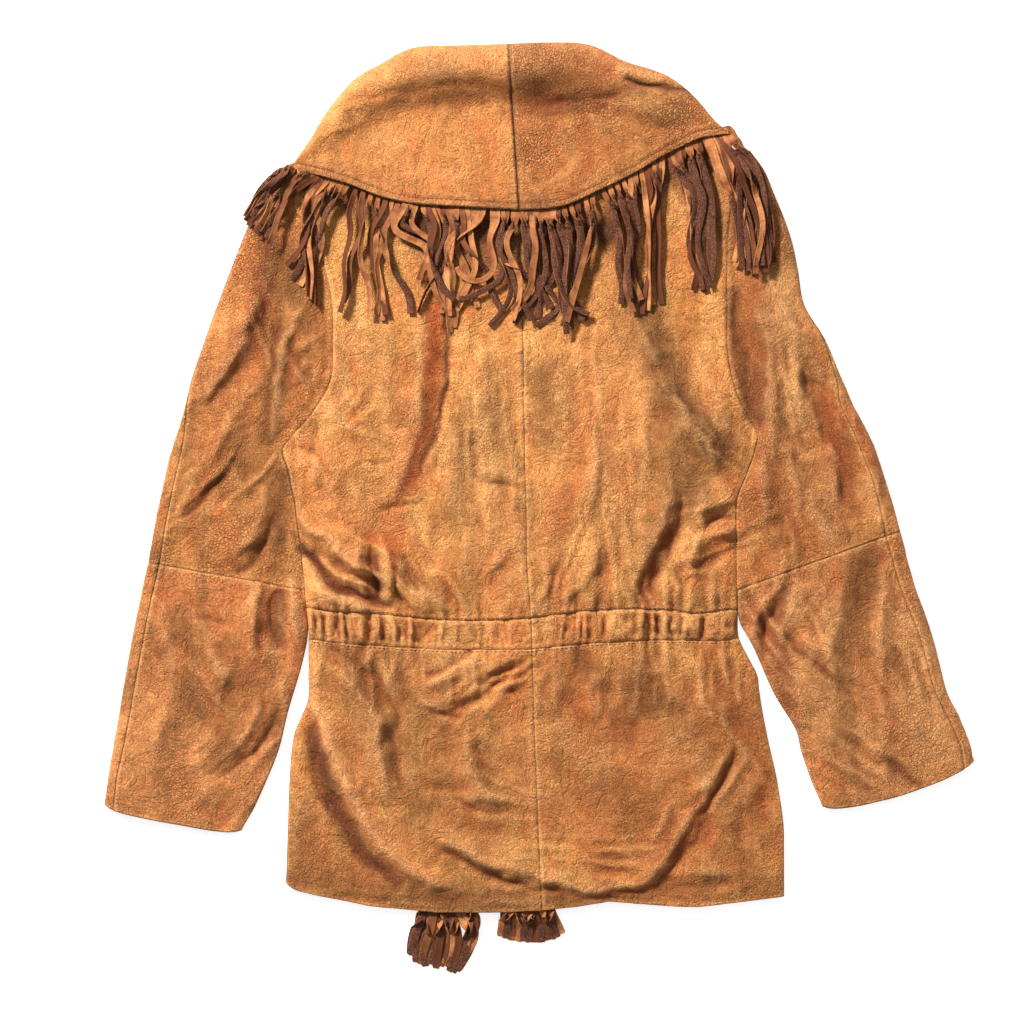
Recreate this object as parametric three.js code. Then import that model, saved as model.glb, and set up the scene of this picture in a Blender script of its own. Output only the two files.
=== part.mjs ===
// A fringed buckskin jacket laid out flat, front down, back up. Millimetres, +Z up, +Y to the collar.
// Every panel is a wall of leather through sections worked out from the tables of sizes below.
import * as THREE from "three";

// ---- driving sizes, mm ----
const LEATHER = 1.5; // thickness of the buckskin
const GAP = 0.3; // room left at every seam
const LIFT = 7; // middle of the back layer above the surface, where nothing pushes it up
const LEAST_LIFT = 5.2; // how low a trough may bring it
const FRONT = LEATHER / 2; // middle of the front layer, flat on the surface
const OVER = LEATHER + GAP; // how much one layer lies above another
const ROLL = 13; // how far in from a folded edge the cloth starts to turn down
const CASING_RISE = 3.5; // puff of the gathered waist casing
const STRIPS = 2; // depth of the bunched fringe strips
const ROOT = 11; // how far under the collar's edge the fringe is sewn
const HEM_EASE = 5; // the front's hem stays this far inside the back's
const LACE = 4; // thickness of the waist lace
const STEP = 24; // about the size of one facet

const HIDE = { color: 0xd09a5e, roughness: 0.92, metalness: 0 };
const HIDE_DARK = { color: 0xb98250, roughness: 0.94, metalness: 0 };
const FRINGE = { color: 0x8a5a3c, roughness: 0.96, metalness: 0 };

// ---- tables: named columns, a row for each section or fold ----
const table = (names, rows) =>
  rows.map((row) => Object.fromEntries(names.split(" ").map((n, i) => [n, row[i]])));

// The back and front, from the shoulder tips down. roll is 1 where the sides are folded edges and 0 where they
// are sewn to the sleeves.
const BODY = table("y left seam right roll", [
  [406, -250, -28.5, 182, 0],
  [330, -244, -27, 192, 0],
  [305, -241, -26, 194, 0],
  [273, -245, -20, 193, 0],
  [247, -228, -19, 190, 0],
  [210, -214, -18, 188.5, 0],
  [173, -206.5, -17, 188.5, 0],
  [137, -206, -15.5, 188.5, 0],
  [101, -207, -15, 193, 0],
  [80, -216, -15, 200, 0],
  [59, -231, -14.5, 211, 0],
  [40, -248, -14, 219, 0],
  [28, -257, -14, 217, 1],
  [8, -251.5, -13.5, 210, 1],
  [-28, -244, -12.5, 198, 1],
  [-90, -236.5, -11.5, 198.5, 1],
  [-135, -232, -8, 199.5, 1],
  [-160, -230, -7, 200.5, 1],
  [-176, -230, -6.5, 208, 1],
  [-198, -230.5, -6, 219, 1],
  [-215, -230, -5, 221.5, 1],
  [-258, -245, -4, 229, 1],
  [-303, -249.5, -2, 239, 1],
  [-360, -251.5, 0, 246, 1],
  [-440, -254.5, 4, 246, 1],
]);
// Seams that run across, each a height for every x.
const NECK_AND_SHOULDERS = table("x y", [
  [-250, 296],
  [-238, 306],
  [-220, 326],
  [-200, 350],
  [-176, 372],
  [-122, 390],
  [50, 390],
  [84, 388],
  [124, 378],
  [147, 366],
  [168, 349],
  [186, 332],
  [196, 322],
]);
const CASING_TOP = table("x y", [
  [-235, -129.5],
  [-162, -136.5],
  [-98, -142.5],
  [-13, -141.5],
  [46, -133.5],
  [95, -131.5],
  [157, -136.5],
  [200, -131.5],
]);
const CASING_FOOT = table("x y", [
  [-235, -161],
  [-191, -166.5],
  [-91, -172.5],
  [-10, -172],
  [48, -166.5],
  [115, -162.5],
  [182, -163.5],
  [200, -161],
]);
const HEM = table("x y", [
  [-256, -405],
  [-246, -411],
  [-225, -417.5],
  [-170, -428.5],
  [-102, -435],
  [-35, -435],
  [37, -429.5],
  [70, -424],
  [127, -428.5],
  [205, -424.5],
  [247, -419],
]);
// Front edges of the open jacket, x for every height: the two fronts fall apart towards the hem.
const FRONT_EDGE = table("y left right", [
  [400, -122, 50],
  [300, -98, 28],
  [175, -72, 8],
  [110, -56, -12],
  [0, -56, -12],
  [-150, -62, -8],
  [-300, -90, -2],
  [-440, -126, 12],
]);

// A sleeve above its elbow seam. Each row joins a height on the armhole or the side of the body, iy, to a place
// on the outer edge, ox and oy. wrap is how far the front's leather comes round the outer edge.
const SLEEVE = "iy ox oy wrap";
const LEFT_SLEEVE = table(SLEEVE, [
  [306, -262, 306, 0.1],
  [273, -281, 268, 0.1],
  [247, -291, 243, 0.1],
  [210, -303, 205, 0.1],
  [173, -313, 168, 0.1],
  [137, -328, 137, 0.1],
  [101, -346, 99, 0.1],
  [80, -354, 76, 1],
  [59, -358, 57, 4],
  [40, -365, 36, 9],
  [28, -371, 16, 11],
  [8, -378, -17, 11],
  [-28, -384, -45, 11],
  [-113, -391, -84.5, 11],
]);
const RIGHT_SLEEVE = table(SLEEVE, [
  [330, 208, 329, 0.1],
  [306, 226, 303, 0.1],
  [280, 236, 279, 0.1],
  [255, 247, 252, 0.1],
  [230, 255.5, 229, 0.1],
  [202, 262, 202, 0.1],
  [170, 276, 167, 0.1],
  [137, 290, 134, 1],
  [101, 303, 95, 5],
  [80, 315, 72, 12],
  [59, 325, 54, 13],
  [40, 334, 36, 14],
  [28, 338, 26, 14],
  [8, 347, -1, 13],
  [-28, 353, -20, 13],
  [-113, 362.5, -53, 15],
]);
// Below it, from the elbow seam to the cuff, ix and iy lie on the inner edge.
const FOREARM = "ix iy ox oy wrap";
const LEFT_FOREARM = table(FOREARM, [
  [-236, -113.4, -391, -84.9, 11],
  [-234, -150, -400, -140, 11],
  [-240, -188, -412, -200, 11],
  [-252, -234, -421, -245, 11],
  [-258, -271, -426, -279, 10],
  [-274, -304, -431, -303, 9],
  [-297, -356, -435, -330, 9],
]);
const RIGHT_FOREARM = table(FOREARM, [
  [200, -113.4, 362.6, -53.4, 15],
  [207, -158, 379, -112, 14],
  [224, -186, 395, -157, 13],
  [240, -216, 407, -210, 12],
  [257, -247, 421, -238, 11],
  [268, -278, 432, -268, 10],
  [281, -323, 435, -283, 10],
]);

// The collar from its centre seam out to the shoulder. rx, ry lie on its rolled edge and ex, ey on its fringed
// edge. crest is the height of the roll, fall that of the cape, low that of the hidden leaf, under its depth.
const COLLAR = "rx ry ex ey crest fall low under";
const LEFT_COLLAR = table(COLLAR, [
  [-30, 431.5, -19, 267, 34, 13, 7, 41],
  [-78, 430, -74, 270, 33, 13, 7, 39.5],
  [-125, 428, -123, 273, 28, 13, 6, 37],
  [-158, 412, -156, 280, 24, 13, 4, 14],
  [-184, 397, -190, 293, 21, 13, 2, 9],
  [-210, 367, -218, 301, 18, 13, 1, 7],
  [-228, 338, -235, 305, 15, 13, 0.8, 5],
  [-244, 315, -246, 307, 12, 11.5, 0.8, 1.5],
]);
const RIGHT_COLLAR = table(COLLAR, [
  [-30, 431.5, -19, 267, 34, 13, 7, 41],
  [9, 433, 22, 270, 33, 13, 7, 42.5],
  [50, 432, 60, 286, 29, 13, 6, 40],
  [84, 413, 96, 304, 26, 13, 4, 16],
  [111, 404, 121, 319, 23, 13, 2, 12],
  [131, 396, 142, 330, 20, 13, 1, 10],
  [154, 380, 162, 339, 17, 13, 0.8, 8],
  [178, 357, 180, 342, 14, 12.5, 0.8, 5],
  [189, 347, 191.5, 343.5, 12, 11.5, 0.8, 1],
]);
// Where the collar's front leaf ends, and how far the fringe reaches from the back leaf's edge.
const LAPEL = "lx ly";
const LEFT_LAPEL = table(LAPEL, [
  [-60, 104],
  [-102, 112],
  [-150, 140],
  [-178, 170],
  [-196, 200],
  [-205, 225],
]);
const RIGHT_LAPEL = table(LAPEL, [
  [2, 104],
  [40, 112],
  [90, 140],
  [124, 170],
  [148, 195],
  [166, 212],
  [176, 225],
]);
const LAPEL_FRINGE = 105;
const TIPS = "ex ey tx ty";
const LEFT_TIPS = table(TIPS, [
  [-19, 267, -12, 143],
  [-74, 270, -66, 154],
  [-123, 273, -114, 158],
  [-156, 280, -162, 159],
  [-190, 293, -198, 168],
  [-218, 301, -226, 188],
  [-236, 305, -253, 214],
]);
const RIGHT_TIPS = table(TIPS, [
  [-18, 267, -11, 143],
  [22, 270, 30, 140],
  [60, 286, 74, 160],
  [96, 304, 110, 172],
  [121, 319, 146, 188],
  [142, 330, 176, 198],
  [162, 339, 208, 212],
  [183, 343, 226, 240],
]);

// The largest folds: a ridge, or a trough where rise is negative, from one end to the other, bowed sideways.
const FOLDS = table("x1 y1 x2 y2 bow width rise", [
  [-91, 137, -127, -9, -8, 15, 7], // long bend beside the left shoulder blade
  [-180, 10, -118, -28, 6, 13, 4], // crease under it
  [-232, -72, -163, -122, -10, 14, 9], // cloth bloused over the left of the casing
  [-150, -98, -112, -136, 6, 12, 5],
  [58, 44, 52, -28, 4, 14, 5], // bend on the right half
  [117, 132, 134, -22, -6, 20, -2],
  [134, -30, 108, -110, 8, 14, 6],
  [134, 86, 190, 12, -12, 13, 6],
  [-236, -248, -80, -412, -16, 15, 8], // long sag on the left of the skirt
  [-194, -180, -140, -312, 14, 13, 7],
  [-110, -196, -20, -186, 4, 15, 4],
  [-96, -368, 190, -290, -46, 15, 6], // sag across the skirt
  [70, -180, 76, -260, 4, 18, 4],
  [-258, 262, -312, 88, -10, 15, 6], // left sleeve, along its cap
  [-302, 22, -356, -36, 4, 13, 6],
  [-266, -118, -256, -172, -6, 13, 5],
  [-264, -238, -308, -294, 6, 14, 5],
  [200, 194, 208, 38, 10, 14, 6], // right sleeve, along its cap
  [272, 100, 320, -40, 8, 16, 5],
  [330, -72, 316, -266, -8, 17, -2],
  [258, -176, 310, -214, 0, 14, 5],
]);

// ---- curves through a table ----
const clamp = (v, low, high) => Math.min(high, Math.max(low, v));
const smooth = (v) => clamp(v, 0, 1) ** 2 * (3 - 2 * clamp(v, 0, 1));
const mix = (a, b, t) => a + (b - a) * t;

// The column's value at a fractional row, smooth through every row and straight on past the ends.
function alongRows(rows, at, column) {
  const i = clamp(Math.floor(at), 0, rows.length - 2);
  const value = (k) => rows[clamp(k, 0, rows.length - 1)][column];
  const [p0, p1, p2, p3] = [value(i - 1), value(i), value(i + 1), value(i + 2)];
  const t = at - i;
  const tangent = (a, b, c) => ((b - a) * (c - b) <= 0 ? 0 : (c - a) / 2);
  if (t < 0) return p1 + (p2 - p1) * t;
  if (t > 1) return p2 + (p2 - p1) * (t - 1);
  const m1 = i ? tangent(p0, p1, p2) : p2 - p1;
  const m2 = i < rows.length - 2 ? tangent(p1, p2, p3) : p2 - p1;
  const [t2, t3] = [t * t, t * t * t];
  return (2 * t3 - 3 * t2 + 1) * p1 + (t3 - 2 * t2 + t) * m1 + (3 * t2 - 2 * t3) * p2 + (t3 - t2) * m2;
}
// The fractional row at which the key column has this value. The key runs one way only.
function rowAt(rows, key, value) {
  const up = rows[rows.length - 1][key] > rows[0][key] ? 1 : -1;
  let i = 0;
  while (i < rows.length - 2 && up * rows[i + 1][key] < up * value) i++;
  return i + (value - rows[i][key]) / (rows[i + 1][key] - rows[i][key]);
}
const lookUp = (rows, key, value, column) => {
  const at = clamp(rowAt(rows, key, value), 0, rows.length - 1);
  const i = Math.min(Math.floor(at), rows.length - 2);
  return mix(rows[i][column], rows[i + 1][column], at - i);
};

// ---- how high the cloth lies ----
function foldRise(x, y) {
  let rise = 0;
  for (const f of FOLDS) {
    const [dx, dy] = [f.x2 - f.x1, f.y2 - f.y1];
    const length = Math.hypot(dx, dy);
    const along = ((x - f.x1) * dx + (y - f.y1) * dy) / length ** 2;
    const across = ((x - f.x1) * dy - (y - f.y1) * dx) / length;
    const off = (across - f.bow * 4 * along * (1 - along)) / f.width;
    rise += f.rise * Math.exp(-off * off) * smooth(along * 4 + 0.6) * smooth((1 - along) * 4 + 0.6);
  }
  return rise;
}
const backLift = (x, y) => {
  const flat = smooth((y - 98) / 30); // nothing folds under the fringe and the collar
  return Math.max(LEAST_LIFT, LIFT + foldRise(x, y) * (1 - flat));
};
// The front lies on the collar's front leaf down to the ends of its fringe, and on the surface below that.
const frontLift = (x, y) => FRONT + OVER * smooth((y + 64) / 28);

// A folded edge is half an ellipse: how high its upper and its lower half lie, this far in from it.
const turn = (inward) => Math.sqrt(1 - (1 - clamp(inward / ROLL, 0, 1)) ** 2);
const upper = (top, foot, inward) => mix((top + foot) / 2 + GAP, top, turn(inward));
const lower = (top, foot, inward) => mix((top + foot) / 2 - GAP, foot, turn(inward));

// ---- walls ----
// A closed wall of leather: place(u, v) is its middle surface, and the two lists are where it is cut.
function wall(place, us, vs, thickness = LEATHER) {
  const e = 1e-4;
  const top = [];
  const foot = [];
  for (const v of vs)
    for (const u of us) {
      const across = place(u + e, v).sub(place(u - e, v));
      const along = place(u, v + e).sub(place(u, v - e));
      const normal = across.cross(along).normalize().multiplyScalar(thickness / 2);
      const middle = place(u, v);
      top.push(middle.clone().add(normal));
      foot.push(middle.clone().sub(normal));
    }
  const [n, m] = [us.length, vs.length];
  const corners = [...top, ...foot];
  const faces = [];
  const quad = (a, b, c, d) => faces.push(a, b, c, a, c, d);
  const under = n * m;
  for (let j = 0; j < m - 1; j++)
    for (let i = 0; i < n - 1; i++) {
      const a = j * n + i;
      quad(a, a + 1, a + n + 1, a + n);
      quad(under + a, under + a + n, under + a + n + 1, under + a + 1);
    }
  const rim = (a, b) => quad(a, under + a, under + b, b);
  for (let i = 0; i < n - 1; i++) {
    rim(i, i + 1);
    rim((m - 1) * n + i + 1, (m - 1) * n + i);
  }
  for (let j = 0; j < m - 1; j++) {
    rim((j + 1) * n, j * n);
    rim(j * n + n - 1, (j + 1) * n + n - 1);
  }
  const geometry = new THREE.BufferGeometry().setFromPoints(corners);
  geometry.setIndex(faces);
  geometry.computeVertexNormals();
  return geometry;
}

const evenly = (count, from = 0, to = 1) =>
  Array.from({ length: count + 1 }, (_, i) => mix(from, to, i / count));
// Cuts across a panel of this width: close together where an edge is folded over, and even between.
function cuts(width, foldedStart, foldedEnd, step = STEP) {
  const edge = [0, 0.06, 0.3, 1].map((share) => (share * ROLL) / width);
  const start = foldedStart ? edge : [0];
  const end = foldedEnd ? edge.map((s) => 1 - s).reverse() : [1];
  const [a, b] = [start[start.length - 1], end[0]];
  const inner = evenly(Math.max(1, Math.round(((b - a) * width) / step)), a, b);
  return [...start.slice(0, -1), ...inner, ...end.slice(1)];
}

const jacket = new THREE.Group();
jacket.name = "fringed_buckskin_jacket";
function add(name, geometry, finish = HIDE) {
  const mesh = new THREE.Mesh(geometry, new THREE.MeshStandardMaterial({ side: THREE.DoubleSide, ...finish }));
  mesh.name = name;
  jacket.add(mesh);
}

// ---- body ----
const side = (column) => (y) => alongRows(BODY, rowAt(BODY, "y", y), column);
const [left, seam, right] = ["left", "seam", "right"].map(side);
const folded = (y) => clamp(lookUp(BODY, "y", y, "roll"), 0, 1);
const seamY = (rows, shift = 0) => (x) => lookUp(rows, "x", x, "y") + shift;
// A folded edge stands half the leather inside the outline, so its outer face is on it.
const leftEdge = (y) => left(y) + (LEATHER / 2) * smooth(folded(y) * 9);
const rightEdge = (y) => right(y) - (LEATHER / 2) * smooth(folded(y) * 9);

// A panel between two edges given by height and two seams given by x: u goes from left to right.
function bodyPanel(from, to, topOf, footOf, lift) {
  return (u, v) => {
    let [x, y] = [0, mix(topOf(0), footOf(0), v)];
    for (let i = 0; i < 6; i++) {
      x = mix(from(y) + GAP / 2, to(y) - GAP / 2, u);
      y = mix(topOf(x) - GAP / 2, footOf(x) + GAP / 2, v);
    }
    return new THREE.Vector3(x, y, lift(x, y, v));
  };
}
// The upper or the lower half of the flattened body, turned down or up where its sides are folded.
const layer = (half, puff) => (x, y, v) => {
  const foot = frontLift(x, y);
  const top = backLift(x, y) + puff * Math.sin(Math.PI * clamp(v, 0, 1));
  const level = half === upper ? top : foot;
  const inward = Math.min(x - leftEdge(y), rightEdge(y) - x);
  return mix(level, half(top, foot, inward), folded(y));
};
const frontLeft = (y) => lookUp(FRONT_EDGE, "y", y, "left");
const frontRight = (y) => lookUp(FRONT_EDGE, "y", y, "right");
const FRONT_CUTS = [0, 0.02, 0.07, 0.5, 1];

function addBody(part, topOf, footOf, hemOf, puff, rows, frontRows) {
  const widthOf = (from, to) => to(topOf(0)) - from(topOf(0));
  const back = (name, from, to, us) =>
    add("back_" + part + name, wall(bodyPanel(from, to, topOf, footOf, layer(upper, puff)), us, evenly(rows)));
  back("_left", leftEdge, seam, cuts(widthOf(leftEdge, seam), true, false));
  back("_right", seam, rightEdge, cuts(widthOf(seam, rightEdge), false, true));
  const front = (name, from, to, us) =>
    add("front_" + part + name, wall(bodyPanel(from, to, topOf, hemOf, layer(lower, 0)), us, evenly(frontRows)));
  front("_left", leftEdge, frontLeft, FRONT_CUTS);
  front("_right", frontRight, rightEdge, FRONT_CUTS.map((u) => 1 - u).reverse());
}
const BACK_ROWS = 16;
const [shoulderY, casingTopY, casingFootY] = [NECK_AND_SHOULDERS, CASING_TOP, CASING_FOOT].map((rows) => seamY(rows));
addBody("upper", shoulderY, casingTopY, casingTopY, 0, BACK_ROWS, BACK_ROWS);
addBody("casing", casingTopY, casingFootY, casingFootY, CASING_RISE, 4, 1);
addBody("skirt", casingFootY, seamY(HEM), seamY(HEM, HEM_EASE), 0, 10, 4);

// ---- sleeves ----
// q goes from 0 at the inner edge, under the arm, to 1 at the outer edge and back over the top to 2.
const ELBOW_Y = -113;
const BESIDE = 0.8; // a folded sleeve lies this far from the folded side of the body
function tube(ends) {
  return (q, at) => {
    const { ix, iy, ox, oy, roll } = ends(at);
    const width = Math.hypot(ox - ix, oy - iy);
    const share = q <= 1 ? q : 2 - q; // from the inner edge to the outer one
    const inset = LEATHER / 2 / width;
    const s = mix(inset * smooth(roll * 9), 1 - inset, share);
    const [x, y] = [mix(ix, ox, s), mix(iy, oy, s)];
    const top = backLift(x, y);
    const foot = roll < 1 ? mix(frontLift(x, y), FRONT, smooth(share * 3)) : FRONT;
    const half = q <= 1 ? lower : upper;
    const level = q <= 1 ? foot : top;
    const outer = half(top, foot, (1 - share) * width);
    const inner = mix(level, half(top, foot, share * width), roll);
    return new THREE.Vector3(x, y, half === upper ? Math.min(outer, inner) : Math.max(outer, inner));
  };
}
function addSleeve(name, ends, stations, turned) {
  const place = tube(ends);
  const width = (at) => Math.hypot(ends(at).ox - ends(at).ix, ends(at).oy - ends(at).iy);
  const seamAt = (at) => 1 + ends(at).wrap / width(at);
  const gap = (at) => (0.9 * GAP) / width(at);
  // u runs so that the same side of the leather faces out on either arm.
  const run = (from, to) => (u, at) => place(mix(from(at), to(at), turned ? u : 1 - u), at);
  const across = (list) => (turned ? list : list.map((u) => 1 - u).reverse());
  const outerSeam = run(
    (at) => seamAt(at) + gap(at),
    () => 2,
  );
  const underArm = run(
    () => 0,
    (at) => seamAt(at) - gap(at),
  );
  add(name + "_back", wall(outerSeam, across([0, 0.04, 0.13, 0.3, 0.5, 0.7, 0.91, 0.98, 1]), stations));
  const round = (u, at) => underArm(1 - u, at);
  add(name + "_front", wall(round, across([0, 0.03, 0.06, 0.14, 0.55, 0.93, 0.98, 1]), stations));
}
// The armhole is cut at the same heights as the side of the back panel, so the two meet all along.
function upperArm(rows, edge, outward) {
  return (at) => {
    const iy = -at;
    const row = rowAt(rows, "iy", iy);
    const [ox, oy, wrap] = ["ox", "oy", "wrap"].map((column) => alongRows(rows, row, column));
    const roll = folded(iy);
    const ix = edge(iy) + outward * (GAP / 2 + BESIDE * smooth(roll * 9));
    return { ix, iy, ox, oy, wrap, roll };
  };
}
const forearm = (rows) => (at) => ({
  ...Object.fromEntries(FOREARM.split(" ").map((column) => [column, alongRows(rows, at, column)])),
  roll: 1,
});
function armholeStations(edge, u) {
  const panel = bodyPanel(leftEdge, rightEdge, shoulderY, casingTopY, () => 0);
  const heights = evenly(BACK_ROWS).map((v) => panel(u, v).y);
  return [...heights.filter((y) => y > ELBOW_Y + STEP / 2), ELBOW_Y].map((y) => -y);
}
const forearmStations = evenly(7, 0, LEFT_FOREARM.length - 1);
addSleeve("sleeve_left_upper", upperArm(LEFT_SLEEVE, left, -1), armholeStations(left, 0), false);
addSleeve("sleeve_right_upper", upperArm(RIGHT_SLEEVE, right, 1), armholeStations(right, 1), true);
addSleeve("sleeve_left_lower", forearm(LEFT_FOREARM), forearmStations, false);
addSleeve("sleeve_right_lower", forearm(RIGHT_FOREARM), forearmStations, true);

// ---- collar ----
// v is 0 at the hidden leaf's end, 1 at the rolled edge and 2 at the fringed edge.
const CREST_AT = 24; // how far in from the rolled edge the roll is highest
const TROUGH_AT = 60; // and where it has come down on the shoulders
function collarPlace(rows) {
  return (at, v) => {
    const c = Object.fromEntries(
      Object.keys(rows[0]).map((name) => [name, alongRows(rows, at, name)]),
    );
    const length = Math.hypot(c.ex - c.rx, c.ey - c.ry);
    const away = v < 1 ? c.under * (1 - v) : length * (v - 1);
    const share = away / length;
    const [x, y] = [mix(c.rx, c.ex, share), mix(c.ry, c.ey, share)];
    const crestAt = Math.min(CREST_AT, length * 0.3);
    const troughAt = Math.min(TROUGH_AT, length * 0.7);
    const sideLevel = mix(c.low, c.crest, 0.45);
    const rounded = Math.sqrt(1 - (1 - clamp(away / crestAt, 0, 1)) ** 2);
    if (v < 1) return new THREE.Vector3(x, y, mix(sideLevel, c.low, rounded));
    const settled = smooth((away - crestAt) / (troughAt - crestAt));
    return new THREE.Vector3(x, y, mix(mix(sideLevel, c.crest, rounded), c.fall, settled));
  };
}
function addCollar(name, rows, lapel, mirrored) {
  const place = collarPlace(rows);
  const last = rows.length - 1;
  const steps = Math.round(last * 1.7);
  const shifted = (at) => (at < 0.01 ? at + 0.004 : at);
  const acrossCollar = [0, 0.6, 1, 1.03, 1.1, 1.22, 1.34, 1.48, 1.7, 2];
  const flip = (u) => (mirrored ? u : last - u);
  const stations = evenly(steps, 0, last).map((u) => shifted(u));
  const across = mirrored ? stations : stations.map((u) => last - u).reverse();
  add(name, wall((u, v) => place(flip(u), v), across, acrossCollar));
  // The front leaf goes on from the shoulder, flat under the front, with the fringe of its edge below it.
  const first = 2;
  const rolledEdge = (at) => place(first + at, 0);
  const leafEnd = (at) => new THREE.Vector3(alongRows(lapel, at, "lx"), alongRows(lapel, at, "ly"), FRONT);
  const leaf = (at, v) => {
    const from = rolledEdge(at);
    const to = leafEnd(at);
    const start = 2.5 / Math.hypot(to.x - from.x, to.y - from.y);
    const point = from.lerp(to, mix(start, 1, 1 - v));
    point.z = FRONT;
    return point;
  };
  const end = lapel.length - 1;
  const leafStations = evenly(end * 2, 0, end);
  const order = mirrored ? leafStations : leafStations.map((u) => end - u).reverse();
  const turned = (u) => (mirrored ? u : end - u);
  add(name + "_front", wall((u, v) => leaf(turned(u), v), order, evenly(5)));
  const strips = (at, v) => {
    const from = leafEnd(at);
    from.y -= GAP + LAPEL_FRINGE * (1 - v);
    return from;
  };
  add(name.replace("collar", "fringe") + "_front", wall((u, v) => strips(turned(u), v), order, [0, 1]), FRINGE);
}
addCollar("collar_left", LEFT_COLLAR, LEFT_LAPEL, false);
addCollar("collar_right", RIGHT_COLLAR, RIGHT_LAPEL, true);

// ---- fringe under the collar's edge ----
function addFringe(name, rows, mirrored) {
  const last = rows.length - 1;
  const above = LEATHER / 2 + GAP + STRIPS / 2;
  const place = (u, v) => {
    const at = mirrored ? u : last - u;
    const c = Object.fromEntries(Object.keys(rows[0]).map((key) => [key, alongRows(rows, at, key)]));
    const length = Math.hypot(c.tx - c.ex, c.ty - c.ey);
    const share = mix(1, -ROOT / length, v);
    const [x, y] = [mix(c.ex, c.tx, share), mix(c.ey, c.ty, share)];
    return new THREE.Vector3(x, y, LIFT + above);
  };
  const inset = evenly(last, 0, last).map((u) => clamp(u, 0.004, last));
  const stations = mirrored ? inset : inset.map((u) => last - u).reverse();
  add(name, wall(place, stations, evenly(4), STRIPS), FRINGE);
}
addFringe("fringe_left", LEFT_TIPS, false);
addFringe("fringe_right", RIGHT_TIPS, true);

// ---- waist laces and their tassels ----
// Each lace leaves the casing at the front edge, lies on the surface between the fronts and ends in a tassel.
const LACES = {
  left: [
    [-55, -152], [-50, -156], [-46, -164], [-47, -176], [-52, -190], [-55, -206], [-53, -224], [-52, -242],
    [-57, -260], [-66, -277], [-73, -295], [-75, -314], [-77, -333], [-83, -351], [-91, -368], [-97, -386],
    [-99, -404], [-98, -420],
  ],
  right: [
    [-15, -152], [-20, -157], [-23, -166], [-21, -179], [-15, -193], [-11, -209], [-13, -226], [-19, -243],
    [-23, -261], [-21, -280], [-15, -297], [-9, -314], [-7, -333], [-11, -352], [-16, -370], [-17, -388],
    [-13, -404], [-11, -420],
  ],
};
function lace(points) {
  const route = new THREE.CatmullRomCurve3(points.map(([x, y]) => new THREE.Vector3(x, y, 0)));
  const steps = Math.round(route.getLength() / (2.5 * LACE));
  const round = new THREE.Shape().absarc(0, 0, LACE / 2, 0, 2 * Math.PI);
  const cord = new THREE.ExtrudeGeometry(round, { curveSegments: 4, steps, bevelEnabled: false, extrudePath: route });
  return cord.translate(0, 0, LACE / 2 + 0.05);
}
for (const [hand, points] of Object.entries(LACES)) add("lace_" + hand, lace(points), HIDE_DARK);

// A tassel is a fan of strips lying on the surface: its head is under the hem and its tips are beyond it.
const TASSELS = table("name x head width foot reach", [
  ["left", -98, -420.6, 12, 62, 77],
  ["right", -11, -420.6, 14, 64, 44],
]);
for (const t of TASSELS) {
  const place = (u, v) => {
    const spread = mix(t.width, t.foot, (1 - v) ** 0.7);
    return new THREE.Vector3(t.x + (u - 0.5) * spread, t.head - t.reach * (1 - v), STRIPS / 2 + 0.05);
  };
  add("tassel_" + t.name, wall(place, evenly(4), [0.001, 0.35, 0.7, 0.999], STRIPS), FRINGE);
}

// ---- the frame: centred on the garment, resting on the surface ----
const garment = new THREE.Box3();
for (const mesh of jacket.children)
  if (!/^(lace|tassel)_/.test(mesh.name)) garment.union(new THREE.Box3().setFromObject(mesh));
const centre = garment.getCenter(new THREE.Vector3());
for (const mesh of jacket.children) mesh.geometry.translate(-centre.x, -centre.y, -garment.min.z);

export default jacket;
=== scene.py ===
"""A fringed buckskin jacket laid flat, front down: every panel is a wall of napped leather on its solid's form,
with the folds, gathers, seams, stitches and fringe strips worked out with numpy in millimetres."""

import math

import bpy
import numpy as np
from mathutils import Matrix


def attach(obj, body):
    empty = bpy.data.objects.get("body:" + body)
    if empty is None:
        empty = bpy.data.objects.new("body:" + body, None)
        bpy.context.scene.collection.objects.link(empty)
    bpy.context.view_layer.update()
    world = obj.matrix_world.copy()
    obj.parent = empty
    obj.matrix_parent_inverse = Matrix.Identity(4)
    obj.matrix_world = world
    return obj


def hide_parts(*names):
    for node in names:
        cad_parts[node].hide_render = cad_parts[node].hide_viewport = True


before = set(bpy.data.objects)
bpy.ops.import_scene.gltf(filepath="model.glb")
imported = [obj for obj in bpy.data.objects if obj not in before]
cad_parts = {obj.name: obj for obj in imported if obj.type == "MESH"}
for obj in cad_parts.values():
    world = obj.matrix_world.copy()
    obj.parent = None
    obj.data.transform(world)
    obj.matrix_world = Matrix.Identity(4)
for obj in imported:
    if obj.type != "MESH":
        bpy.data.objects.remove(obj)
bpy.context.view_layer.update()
MM = 0.001

# ---- driving sizes, mm ----
LEATHER = 1.4
LIFT = 7.0  # middle of the back layer above the surface
FRONT = 0.75  # middle of the front layer
OVER = 1.8  # how much higher it lies above the waist, over the collar's front leaves
CLEAR = 1.7  # least distance between the two layers' middles
ROLL = 13.0  # how far in from a folded edge the cloth starts to turn down
CELL = 2.1  # size of the visible panels' facets
PLAIN_CELL = 9.0  # and of the hidden ones'
STRIP_WIDTH = 6.3
STRIP_THICK = 1.2
STITCH = 3.4
STITCH_GAP = 1.3
STITCH_WIDTH = 0.9
COLLAR_STITCH_IN = 7  # from the fringed edge
CASING_STITCH_OUT = 2.2  # from the casing's seams
FRONT_HEM_UP = 5  # the front skirts end this far above the back's hem
HELD_LEVEL = 10.2  # height at which the fringe comes from under the collar
TASSEL_WIDTH = 8.2


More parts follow.
